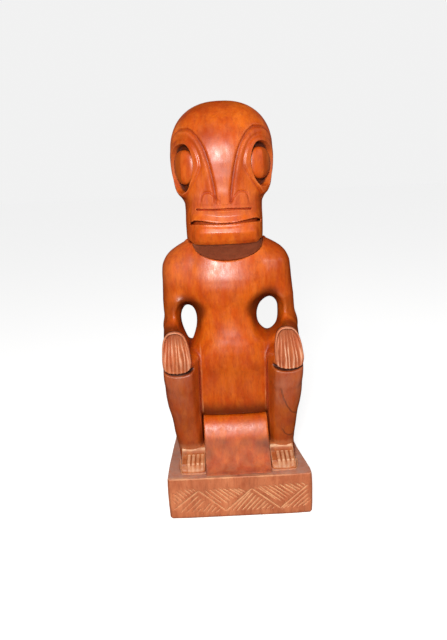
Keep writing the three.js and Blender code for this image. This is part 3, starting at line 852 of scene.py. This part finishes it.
def seat(x, y, z):
    lx = x - sway(z)
    (yf,) = look(z, RAMP)
    steep = np.interp(z, [44, 46, 49, 54, 62, 72, 80, 86, 90, 92], [0.25, 0.5, 0.7, 0.85, 0.94, 0.93, 0.88, 0.8, 0.6, 0.4]).astype(f32)
    wide = 32.5 + 0.4 * ramp(-z, -66, -47) + 0.12 * noise(x, y, z, 12.0)
    d = smax((yf - y) * steep, np.abs(lx) - wide, 0.9)
    d = smax(d, y - 30, 1)
    dx, dy = np.abs(lx) - 50.5 + 4, np.abs(y - 20.8) - 27.4 + 4
    stool = np.hypot(np.maximum(dx, 0), np.maximum(dy, 0)) + np.minimum(np.maximum(dx, dy), 0) - 4
    d = smin(d, stool + 0.25 * noise(x, y, z, 18.0, 1.0), 1.0)
    d = smax(d, z - 92.0, 1.6)
    return smax(d, 43.7 - z, 0.2) + 0.12 * noise(x, y, z, 15.0, 8.0)


# ------------------------------------------------------------------ plinth
PLAN = np.array([
    (-71.3, -50), (-71.5, -30), (-71.2, -6), (-70.6, 16), (-69.4, 40), (-66.5, 53.5), (-60, 60.3), (-50, 63),
    (0, 63), (42, 63), (54, 60), (60.2, 50), (61.2, 26), (61.9, 8), (63.6, -6), (66.8, -24), (69.8, -40), (71.4, -52),
    (71.5, -60.6), (69.5, -63), (0, -63), (-69, -63), (-71.2, -60.4),
])
ZIG = [(-66.7, 10.4), (-40.9, 30.6), (-14.6, 7.4), (11.7, 30.6), (39.5, 7.6), (66.9, 31.6)]
STROKES = []
for (xa, za), (xb, zb) in zip(ZIG[:-1], ZIG[1:]):
    STROKES.append((xa, za, xb, zb, 1.1))
# above the valleys, parallel to the falling line
for (x0, z0, x1, z1) in [
    (-34.6, 31.0, -18.4, 15.8), (-30.6, 32.2, -12.6, 15.2), (-25.8, 32.4, -9.6, 17.8), (-20.9, 32.5, -6.2, 20.3),
    (-16.6, 32.4, -2.8, 21.6), (-11.6, 32.4, 0.6, 23.4), (-7.0, 32.0, 3.4, 25.4), (-2.3, 31.6, 5.4, 27.2),
    (16.4, 32.4, 35.2, 17.2), (18.4, 33.8, 40.6, 15.2), (23.4, 33.6, 43.6, 17.0), (28.0, 33.4, 46.6, 19.0),
    (33.2, 33.8, 49.8, 21.0), (38.6, 34.0, 53.4, 22.8), (43.6, 34.0, 57.0, 25.0), (49.0, 34.0, 59.6, 27.2),
    (54.4, 34.4, 62.2, 29.2), (60.0, 34.4, 64.8, 31.2),
    (-66.2, 25.8, -60.4, 18.8), (-65.8, 29.0, -57.2, 20.4), (-63.0, 31.2, -54.6, 23.0), (-59.0, 32.4, -51.8, 25.4),
    (-55.0, 33.0, -48.8, 27.4), (-51.0, 33.2, -46.0, 29.0), (-66.6, 21.4, -63.6, 17.0), (-47.0, 33.4, -43.8, 30.8),
]:
    STROKES.append((x0, z0, x1, z1, 0.9))
# below the peaks, parallel to the rising line
for (x0, z0, x1, z1) in [
    (-59.8, 7.4, -41.2, 25.4), (-54.0, 7.2, -38.0, 22.6), (-48.4, 7.2, -35.6, 20.0), (-43.6, 6.4, -38.0, 12.2),
    (-34.0, 6.6, -26.0, 16.6), (-38.4, 6.4, -29.0, 17.6), (-29.6, 6.4, -22.8, 13.2), (-24.6, 6.4, -19.6, 11.0),
    (-8.6, 7.0, 10.2, 27.4), (-4.0, 6.8, 13.2, 26.6), (1.0, 6.8, 16.4, 24.4), (5.8, 6.8, 19.6, 21.8),
    (10.6, 6.8, 22.4, 19.4), (15.2, 6.8, 25.6, 17.2), (20.0, 7.0, 28.4, 14.8), (25.0, 7.0, 31.4, 12.4), (30.0, 7.0, 34.2, 10.4),
    (45.6, 7.6, 66.8, 27.4), (51.6, 7.8, 67.6, 22.8), (56.2, 8.4, 68.0, 18.6), (61.4, 8.6, 68.4, 14.6), (40.8, 6.4, 48.0, 12.4),
]:
    STROKES.append((x0, z0, x1, z1, 0.9))
# grooves round the feet, on the plinth's top: x, y
TRENCH = [
    [(-60.6, -22), (-59.8, -36), (-57.6, -50.4), (-55.6, -52.6), (-33.4, -53.4), (-31.4, -50.6)],
    [(59.8, -30), (59.2, -42), (57.2, -50.4), (55.4, -52.2), (34.2, -53.6), (32.2, -50.4), (31.0, -44), (30.6, -32)],
]


def plan_distance(px, py):
    return outline_distance(px, py, PLAN)


def stroke_depth(x, z):
    """0 to 1: how deep each point of the front lies in a gouged line."""
    d = np.zeros(x.shape, f32)
    for i, (x0, z0, x1, z1, w) in enumerate(STROKES):
        lo = (x > min(x0, x1) - 3) & (x < max(x0, x1) + 3) & (z > min(z0, z1) - 3) & (z < max(z0, z1) + 3)
        if not lo.any():
            continue
        X, Z = x[lo], z[lo]
        L = math.hypot(x1 - x0, z1 - z0)
        t = np.clip(((X - x0) * (x1 - x0) + (Z - z0) * (z1 - z0)) / L**2, 0, 1)
        bow = 0.35 * math.sin(i * 2.1) * np.sin(np.pi * t)
        e = np.hypot(X - x0 - t * (x1 - x0), Z - z0 - t * (z1 - z0) - bow)
        taper = np.clip(np.minimum(t, 1 - t) * L / 2.6, 0.25, 1)
        d[lo] = np.maximum(d[lo], vee(e, w * (0.45 + 0.55 * taper)) * (0.5 + 0.5 * taper))
    return d


def trench_depth(x, y):
    d = np.zeros(x.shape, f32)
    for line in TRENCH:
        dist, _ = near(x, y, np.array(line, float))
        d = np.maximum(d, vee(dist, 1.15))
    return d


def plinth(x, y, z):
    d = plan_distance(x, y)
    wavy = 0.22 * noise(x, y, z, 26.0, 1.0) + 0.07 * noise(x, y, z, 8.0, 2.0)
    # the sides bow a little and the lower front corners are knocked round
    corner = np.hypot(np.maximum(np.abs(x) - 67.5, 0), np.maximum(4.0 - z, 0)) - 4.0
    d = d + 0.6 * ((z - 24) / 22) ** 2 * ramp(np.abs(x), 50, 68)
    d = d + 1.0 * ramp(-z, -4, 0) ** 2
    flat = 44.0 - z
    d = smax(d, -flat, 1.1)
    d = smax(d, -z, 1.8)
    d = smax(d, np.where((np.abs(x) > 67.5) & (z < 4.0), corner, -9).astype(f32), 0.5)
    front = ramp(-y, 60, 62)
    sel = (y < -59)
    if sel.any():
        d = d.copy()
        d[sel] += 0.95 * stroke_depth(x[sel], z[sel])
    top = (z > 41.5) & (y < -15)
    if top.any():
        d = d.copy()
        d[top] += 1.0 * trench_depth(x[top], y[top])
    return d + wavy * ramp(z, 1.5, 5)


# ------------------------------------------------------------------ materials
def hex3(h):
    c = [int(h[i : i + 2], 16) / 255 for i in (0, 2, 4)]
    return [v / 12.92 if v <= 0.04045 else ((v + 0.055) / 1.055) ** 2.4 for v in c]


class Nodes:
    """A short way to write shader nodes."""

    def __init__(self, material):
        material.use_nodes = True
        self.t = material.node_tree
        self.t.nodes.clear()

    def new(self, kind, ins=None, **props):
        n = self.t.nodes.new(kind)
        for k, v in props.items():
            setattr(n, k, v)
        for k, v in (ins or {}).items():
            self.set(n.inputs[k], v)
        return n

    def set(self, socket, v):
        if isinstance(v, bpy.types.NodeSocket):
            self.t.links.new(v, socket)
        else:
            socket.default_value = v

    def math(self, op, a, b=0.0, c=0.0, clamp=False):
        n = self.new("ShaderNodeMath", operation=op, use_clamp=clamp)
        for s, v in zip(n.inputs, (a, b, c)):
            self.set(s, v)
        return n.outputs[0]

    def mapped(self, v, lo, hi, out_lo=0.0, out_hi=1.0):
        n = self.new("ShaderNodeMapRange", {0: v, 1: lo, 2: hi, 3: out_lo, 4: out_hi})
        n.interpolation_type = "SMOOTHSTEP"
        return n.outputs[0]

    def mix(self, f, a, b, blend="MIX"):
        n = self.new("ShaderNodeMix", data_type="RGBA", blend_type=blend)
        self.set(n.inputs[0], f)
        for i, v in ((6, a), (7, b)):
            self.set(n.inputs[i], v if isinstance(v, bpy.types.NodeSocket) else (*v, 1.0))
        return n.outputs[2]

    def noise(self, v, scale, detail=3.0, rough=0.5, distort=0.0):
        return self.new(
            "ShaderNodeTexNoise",
            {"Vector": v, "Scale": scale, "Detail": detail, "Roughness": rough, "Distortion": distort},
        ).outputs["Fac"]

    def attr(self, name):
        return self.new("ShaderNodeAttribute", attribute_name=name).outputs["Fac"]


def wood(name, light, mid, dark, low, raw_and_highlight, rough=0.34, streak=1.0, gloss=0.55, warp=0.0, wear=0.12):
    """Waxed tropical hardwood: grain up the block, growth bands, pores, rubbed edges, and painted shade that darkens
    the hollows and creases.
    """
    m = bpy.data.materials.new(name)
    N = Nodes(m)
    co = N.new("ShaderNodeTexCoord").outputs["Object"]
    stretched = N.new("ShaderNodeMapping", {"Vector": co, "Location": (0.03 + warp, 0.05, 0.0), "Scale": (1, 1, 0.09)}).outputs[0]
    half = N.new("ShaderNodeMapping", {"Vector": co, "Scale": (1, 1, 0.35)}).outputs[0]
    # growth bands, round an axis behind the figure
    sep = N.new("ShaderNodeSeparateXYZ", {"Vector": co})
    wob = N.noise(half, 26.0, 2.0, 0.5)
    dx = N.math("ADD", sep.outputs[0], -0.012 + warp)
    dy = N.math("ADD", sep.outputs[1], -0.055)
    rad = N.math("SQRT", N.math("ADD", N.math("MULTIPLY", dx, dx), N.math("MULTIPLY", dy, dy)))
    rad = N.math("ADD", rad, N.math("MULTIPLY", N.math("SUBTRACT", wob, 0.5), 0.035))
    band = N.math("SINE", N.math("MULTIPLY", rad, 980.0))
    band = N.mapped(band, -0.2, 1.0)
    mottle = N.noise(half, 85.0, 6.0, 0.68, 0.3)
    streaks = N.noise(stretched, 420.0, 4.0, 0.62)
    wide = N.noise(stretched, 95.0, 3.0, 0.55, 0.3)
    pores = N.noise(stretched, 1500.0, 2.0, 0.6)
    # colour
    c = N.mix(N.mapped(mottle, 0.34, 0.66, 0.1, 0.9), mid, light)
    cloud = N.noise(co, 38.0, 3.0, 0.6, 0.4)
    broad = N.noise(co, 15.0, 2.0, 0.5, 0.2)
    c = N.mix(N.mapped(cloud, 0.44, 0.68, 0.0, 0.34), c, dark)
    c = N.mix(N.mapped(broad, 0.48, 0.68, 0.0, 0.28), c, dark)
    c = N.mix(N.mapped(wide, 0.45, 0.80, 0.0, 0.18 * streak), c, dark)
    c = N.mix(N.math("MULTIPLY", band, 0.07 * streak), c, dark)
    c = N.mix(N.mapped(streaks, 0.46, 0.74, 0.0, 0.16 * streak), c, low)
    c = N.mix(N.mapped(pores, 0.62, 0.78, 0.0, 0.22), c, low)
    spots = N.noise(half, 260.0, 4.0, 0.7)
    c = N.mix(N.mapped(spots, 0.46, 0.70, 0.0, 0.36), c, dark)
    fleck = N.noise(half, 900.0, 3.0, 0.65)
    c = N.mix(N.mapped(fleck, 0.56, 0.74, 0.0, 0.24), c, low)
    c = N.mix(N.mapped(fleck, 0.44, 0.28, 0.0, 0.10), c, raw_and_highlight)
    c = N.mix(N.math("MULTIPLY", N.attr("grain"), 0.85, clamp=True), c, low)
    hollow = N.attr("hollow")
    edge = N.attr("edge")
    # painted shade: darker wood in the hollows and in small creases
    c = N.mix(N.mapped(hollow, -0.15, -1.4, 0.0, 0.6), c, dark)
    c = N.mix(N.mapped(edge, -0.25, -1.6, 0.0, 0.5), c, dark)
    c = N.mix(N.mapped(edge, 0.35, 1.7, 0.0, wear), c, raw_and_highlight)
    # the pieces' masks below bring in stain, bloom and rubbing, and also painted shade and painted highlights
    c = N.mix(N.attr("deep"), c, dark)
    c = N.mix(N.attr("dark_tone_and_shade"), c, low)
    scuff = N.noise(half, 170.0, 5.0, 0.7)
    c = N.mix(N.math("MULTIPLY", N.attr("dust_and_highlight"), N.mapped(scuff, 0.30, 0.62, 0.35, 0.9), clamp=True), c, DUST_AND_HIGHLIGHT)
    c = N.mix(N.math("MULTIPLY", N.attr("raw_and_highlight"), N.mapped(scuff, 0.30, 0.55, 0.55, 1.0), clamp=True), c, raw_and_highlight)
    # finish
    r = N.mapped(scuff, 0.3, 0.75, rough - 0.06, rough + 0.12)
    r = N.math("ADD", r, N.math("MULTIPLY", N.attr("raw_and_highlight"), 0.25))
    r = N.math("ADD", r, N.mapped(hollow, -0.2, -1.4, 0.0, 0.25))
    r = N.math("ADD", r, N.math("MULTIPLY", N.attr("dust_and_highlight"), 0.3))
    r = N.math("ADD", r, N.math("MULTIPLY", N.attr("dull"), 0.4), clamp=True)
    fine = N.math("ADD", N.math("MULTIPLY", streaks, 0.55), N.math("MULTIPLY", pores, -0.5))
    fine = N.math("ADD", fine, N.math("MULTIPLY", scuff, 0.35))
    b = N.new("ShaderNodeBump", {"Strength": 0.26, "Distance": 0.0003, "Height": fine})
    dents = N.noise(half, 120.0, 2.0, 0.5)
    b2 = N.new("ShaderNodeBump", {"Strength": 0.14, "Distance": 0.001, "Height": dents, "Normal": b.outputs[0]})
    s = N.new(
        "ShaderNodeBsdfPrincipled",
        {"Base Color": c, "Roughness": r, "Normal": b2.outputs[0], "IOR": 1.5, "Specular IOR Level": gloss},
    )
    out = N.new("ShaderNodeOutputMaterial")
    N.t.links.new(s.outputs[0], out.inputs[0])
    return m


LIGHT, MID, DARK, LOW, RAW = (hex3(h) for h in ("E86F0E", "D35008", "A23208", "451808", "EFA06A"))
# pale pinkish grey for bloom, also used for the seat's painted highlight
DUST_AND_HIGHLIGHT = hex3("C29584")
polished = wood("polished_hardwood", LIGHT, MID, DARK, LOW, RAW)
brushed = wood("head_hardwood", LIGHT, MID, DARK, LOW, RAW, rough=0.37, gloss=0.56)
bench = wood("seat_hardwood", LIGHT, MID, DARK, LOW, RAW, rough=0.33, gloss=0.36)
plain = wood("plinth_hardwood", hex3("E48B5E"), hex3("D5764C"), hex3("A04A2C"), hex3("6A3422"), hex3("F4B684"), rough=0.42, streak=1.6, gloss=0.3, warp=0.02, wear=0.5)
tooled = wood("tooled_hardwood", hex3("E08250"), hex3("CE663C"), hex3("923E22"), hex3("421A0E"), hex3("F6BC98"), rough=0.34, streak=0.8, gloss=0.36, wear=0.35)
footed = wood("foot_hardwood", hex3("D27A42"), hex3("BE5E2E"), hex3("8E4022"), hex3("42200F"), hex3("F4C69C"), rough=0.38, streak=0.8, gloss=0.34, wear=0.3)
# painted shade: a darker copy of the wood for the throat under the chin; its last colour is the plain wood's
shaded = wood("throat_hardwood", hex3("AE6242"), hex3("9A5236"), hex3("7A3E28"), hex3("5A2C1A"), hex3("C4480C"), rough=0.5, streak=0.5, gloss=0.27, wear=0.0)


# ------------------------------------------------------------------ pieces
def mirror_zone(sign, x):
    return (x - 0) * sign


grid = stretch
P, Q = carve(head, grid(-54, 50, 0.72), grid(-54, 50, 0.72, (-50, -4), 1.6), grid(267, 402, 0.72, (269, 384), 1.2))
mesh(
    "head_carving", P, Q, brushed, ["head"],
    {"dark_tone_and_shade": head_painted_shade, "dull": head_dull, "deep": lambda x, y, z: 0.42 * ramp(noise(x, y, z * 0.8, 17.0, 5.0) + 0.012 * (x - 4), 0.05, 0.75) * ramp(z, 345, 362)},
)

P, Q = carve(neck, grid(-42, 38, 1.2), grid(-46, 37, 1.2), grid(242, 272.5, 0.9))
# the back of the neck is mixed to the plain wood colour, so the painted shade stays at the front
mesh("throat_carving", P, Q, shaded, ["neck"], {"raw_and_highlight": lambda x, y, z: ramp(y, -8, 10)})


def leg_lines(x, y, z):
    """Dark growth lines that curve across the shin on the viewer's right."""
    d = np.zeros(x.shape)
    for line in ([(44.5, 128), (46.5, 118), (50.5, 108), (55, 101), (60, 98.5), (64, 99.5)], [(45.5, 82), (47.5, 77), (52, 73.5), (56, 74.5), (59, 78)]):
        dist, _ = near(x, z, np.array(line, float))
        d = np.maximum(d, bump(dist, 0.9))
    return d * ramp(-y, 24, 34) * (1 - 0.6 * ramp(x, 58, 64))


def painted_shade_and_leg_tone(x, y, z):
    """The legs are darker; painted shade where the belly panel turns under, under each hand, on the forearms and at the
    shoulder's edge, and painted shadow in and round the openings.
    """
    ax = np.abs(x - sway(z))
    leg = ramp(ax, 32, 36) * (1 - ramp(z, 140, 176))
    # painted shade where the belly panel turns under
    under = np.maximum(0.80 * (1 - ramp(z, 96, 112)), 0.05 * (1 - ramp(z, 118, 172))) * ramp(-y, 10, 20)
    d = np.maximum(0.38 * leg, under * (1 - ramp(ax, 32, 36)))
    # painted shadow: a dark line under each hand's lower edge
    rise = z - (146.9 + 0.016 * (ax - 53.4) ** 2)
    d = np.maximum(d, (1 - ramp(np.abs(rise), 1.3, 2.5)) * (y < -36) * ramp(ax, 37, 40))
    # painted shade on the forearm, seen end on above the hand
    fore = ramp(-y, 16, 30) * ramp(z, 160, 170) * (1 - ramp(z, 192, 203)) * ramp(ax, 40, 45)
    d = np.maximum(d, 0.60 * fore)
    # painted shade at the very edge of the shoulder on the viewer's right
    lx = x - sway(z)
    d = np.maximum(d, 0.16 * ramp(lx, 52, 64) * ramp(z, 205, 240))
    # painted shadow inside the openings, and in the hollows over them and beside the waist
    for outline, lo, hi in ((GAP_LEFT, 10, 66), (GAP_RIGHT, -66, -12)):
        sel = (lx > lo) & (lx < hi) & (z > 160) & (z < 240) & (y < 26)
        gap = outline_distance(lx[sel], z[sel], outline)
        over = ramp(z[sel], 186, 206)
        within = 1 - ramp(ax[sel], 34, 46)
        full = 0.5 + 8.0 * over + 3.0 * within * (1 - over)
        dark = (1 - ramp(gap, full, full + 4.0 + 5.0 * over)) * (0.14 + 0.58 * over + 0.36 * within * (1 - over))
        dark = dark * ramp(z[sel], 174, 190) * (1 - 0.65 * ramp(ax[sel], 46, 53))
        d[sel] = np.maximum(d[sel], dark)
    return d


def deep_red_side_shade(x, y, z):
    """Painted shade in deep red on the shoulder on the viewer's right and the outer sides of the arms; darker low on
    the belly.
    """
    lx = x - sway(z)
    d = 0.52 * ramp(lx, 30, 50) * ramp(z, 214, 240)
    d = np.maximum(d, 0.35 * ramp(np.abs(lx), 58, 67) * ramp(z, 160, 200))
    d = np.maximum(d, 0.26 * (1 - ramp(z, 130, 170)) * (1 - ramp(np.abs(lx), 30, 34)) * ramp(-y, 10, 20))
    return d * (0.8 + 0.4 * noise(x, y, z, 11.0, 6.0))


def rubbed(x, y, z):
    """The belly panel's long edges and the shins' ridges are rubbed light; the ankles are paler."""
    ax = np.abs(x - sway(z))
    patchy = 0.5 + 0.5 * noise(x, y, z, 8.0, 11.0)
    panel = bump(ax - 31.9, 1.0) * ramp(-y, 18, 22) * ramp(z, 94, 100) * (1 - ramp(z, 160, 176))
    shin = bump(ax - 34.8, 0.9) * ramp(-y, 24, 28) * ramp(z, 60, 70) * (1 - ramp(z, 130, 142))
    ankle = bump(z - 63.5, 6.0) * ramp(-y, 22, 30) * ramp(ax, 31, 34)
    return 0.75 * panel * patchy + 0.22 * shin * patchy + 0.38 * ankle * (0.5 + 0.5 * patchy)


def ashy(x, y, z):
    """A thin bloom of old wax on the outer faces of the legs."""
    ax = np.abs(x - sway(z))
    leg = ramp(ax, 36, 44) * (1 - ramp(z, 142, 156)) * (y < -4)
    return 0.17 * leg * (0.35 + 0.65 * ramp(z, 84, 128)) * (0.8 + 0.6 * noise(x, y, z, 14.0, 2.0))


P, Q = carve(figure, grid(-74, 72, 1.05), grid(-52, 50, 0.95, (-50, -16), 1.7), grid(42, 270, 1.05))
mesh(
    "trunk_and_limbs_carving", P, Q, polished,
    ["torso", "left_arm", "right_arm", "left_leg", "right_leg"],
    {"grain": leg_lines, "dark_tone_and_shade": painted_shade_and_leg_tone, "raw_and_highlight": rubbed, "deep": deep_red_side_shade, "dust_and_highlight": ashy, "dull": lambda x, y, z: 0.8 * ramp(sway(z) - x, 30, 38) * ramp(z, 222, 236)},
)

P, Q = carve(seat, grid(-56, 54, 1.2), grid(-64, 51, 0.9, (-62, -16), 2.5), grid(42, 96, 0.9))
mesh(
    "seat_carving", P, Q, bench, ["seat"],
    {
        # a pale bloom low on the ramp, and a painted highlight: a pale speckled band across the roll at z 79
        "dust_and_highlight": lambda x, y, z: 0.24 * (1 - ramp(z, 60, 76)) * (y < -30) + 0.22 * bump(z - 79, 6) * (y < -28) * ramp(noise(x, y, z, 4.0, 2.0), -0.3, 0.5),
        # painted shade in a band under the roll; the lower ramp is darker towards the bottom and the sides
        "dark_tone_and_shade": lambda x, y, z: (y < -28) * (0.46 * bump(z - 68, 8) + 0.32 * (1 - ramp(z, 60, 70)) + 0.30 * ramp(np.abs(x - sway(z)), 22, 31) * (1 - ramp(z, 60, 74))) * (0.75 + 0.6 * noise(x, y, z, 7.0, 4.0)),
        "dull": lambda x, y, z: (1 - ramp(z, 62, 72)) * (y < -28),
    },
)

P, Q = carve(plinth, grid(-73.5, 73.5, 0.55), grid(-65, 65, 0.5, (-64, -57), 2.6), grid(-1.5, 46, 0.55))
mesh(
    "plinth_carving", P, Q, plain, ["plinth"],
    {
        "raw_and_highlight": lambda x, y, z: np.maximum(
            np.where(
                y < -59,
                np.maximum(
                    ramp(stroke_depth(x, z), 0.12, 0.6) * (0.62 + 0.38 * ramp(x, -66, 10)) * (0.8 + 0.3 * noise(x, y, z, 9.0, 5.0)),
                    0.6 * bump(z - 43.4, 1.1) * ramp(noise(x, y, z, 7.0, 1.0), -0.5, 0.2) * (1 - ramp(x, 30, 60)),
                ),
                0,
            ),
            np.where((z > 41.5) & (y < -15), ramp(trench_depth(x, y), 0.2, 0.7) * 0.7, 0),
        ),
        "dust_and_highlight": lambda x, y, z: 0.85 * ramp(z, 43.0, 43.9) * ramp(y, -63.2, -61) * (1 - 0.6 * (1 - ramp(np.abs(x), 26, 36)) * (y < -48)),
        # painted shade in the corner where the seat's ramp meets the plinth, between the feet
        "dark_tone_and_shade": lambda x, y, z: 0.5 * ramp(z, 43.2, 43.9) * (1 - ramp(np.abs(x), 28, 38)) * (y < -48) * (y > -62.3),
    },
)
for sign, who in ((1, "left"), (-1, "right")):
    lo, hi = (36, 71) if sign > 0 else (-72, -36)
    P, Q = carve(hand_for(sign), grid(lo, hi, 0.42), grid(-57, -44.5, 0.42), grid(146, 193, 0.5))
    lightened, darkened = hand_marks(sign)
    mesh(who + "_hand_carving", P, Q, tooled, [who + "_hand"], {"raw_and_highlight": lightened, "dark_tone_and_shade": darkened})
    lo, hi = (29, 62) if sign > 0 else (-62, -29)
    P, Q = carve(foot_for(sign), grid(lo, hi, 0.45), grid(-54, -9, 0.45, (-53, -34), 1.2), grid(42.5, 64, 0.45))
    lightened, darkened = foot_marks(sign)
    mesh(who + "_foot_carving", P, Q, footed, [who + "_foot"], {"raw_and_highlight": lightened, "dark_tone_and_shade": darkened})

# ------------------------------------------------------------------ floor, light, camera
floor_mat = bpy.data.materials.new("floor")
F = Nodes(floor_mat)
co = F.new("ShaderNodeTexCoord").outputs["Object"]
paper = F.noise(co, 300.0, 4.0, 0.6)
s = F.new(
    "ShaderNodeBsdfPrincipled",
    {"Base Color": F.mix(F.mapped(paper, 0.3, 0.7), (0.86, 0.86, 0.86), (0.9, 0.9, 0.9)), "Roughness": 0.85, "Emission Color": (1, 1, 1, 1), "Emission Strength": 0.66},
)
F.t.links.new(s.outputs[0], F.new("ShaderNodeOutputMaterial").inputs[0])
bpy.ops.mesh.primitive_plane_add(size=12, location=(0, 0, 0))
floor = bpy.context.object
floor.name = "floor"
floor.data.materials.append(floor_mat)
floor.visible_diffuse = False
floor.visible_glossy = False

scene = bpy.context.scene
world = bpy.data.worlds.new("studio")
scene.world = world
world.use_nodes = True
world.cycles_visibility.glossy = False
W = world.node_tree
glow = W.nodes["Background"]
glow.inputs[0].default_value = (1, 1, 1, 1)
glow.inputs[1].default_value = 0.27
backdrop = W.nodes.new("ShaderNodeBackground")
backdrop.inputs[0].default_value = (0.883, 0.883, 0.883, 1)
choose = W.nodes.new("ShaderNodeMixShader")
W.links.new(W.nodes.new("ShaderNodeLightPath").outputs["Is Camera Ray"], choose.inputs[0])
W.links.new(glow.outputs[0], choose.inputs[1])
W.links.new(backdrop.outputs[0], choose.inputs[2])
W.links.new(choose.outputs[0], W.nodes["World Output"].inputs[0])


def area(name, at, to, size, power, colour=(1, 1, 1)):
    lamp = bpy.data.lights.new(name, "AREA")
    lamp.energy, lamp.size, lamp.color = power, size, colour
    o = bpy.data.objects.new(name, lamp)
    scene.collection.objects.link(o)
    d = Vector(to) - Vector(at)
    o.matrix_world = Matrix.Translation(at) @ d.to_track_quat("-Z", "Y").to_matrix().to_4x4()
    return o


area("key", (-0.08, -0.85, 0.56), (0, 0, 0.24), 0.15, 7.8, (1.0, 0.98, 0.95))
side = area("fill", (0.9, -0.5, 0.8), (0, 0, 0.2), 0.7, 1.6)
side.data.specular_factor = 0.25

scene.view_settings.view_transform = "Standard"
scene.view_settings.look = "None"

# the camera's place, turn and lens
D, HC, TZ, ROLL, FPX, CX, CY = 0.6, 0.345, 0.2, math.radians(-2.752), 605.771, 231.215, 306.801
cam = bpy.data.cameras.new("camera")
cam.sensor_fit = "VERTICAL"
cam.sensor_height = 36.0
cam.sensor_width = 36.0
cam.lens = FPX / 640 * 36.0
cam.shift_x = -(CX - 447 / 2) / 640
cam.shift_y = (CY - 320) / 640
cam.clip_start, cam.clip_end = 0.05, 50
camera = bpy.data.objects.new("camera", cam)
scene.collection.objects.link(camera)
eye, target = Vector((0, -D, HC)), Vector((0, 0, TZ))
f = (target - eye).normalized()
r = f.cross(Vector((0, 0, 1))).normalized()
u = r.cross(f)
r2 = r * math.cos(ROLL) + u * math.sin(ROLL)
u2 = u * math.cos(ROLL) - r * math.sin(ROLL)
camera.matrix_world = Matrix(
    [[r2[i], u2[i], -f[i], eye[i]] for i in range(3)] + [[0, 0, 0, 1]]
)
scene.camera = camera
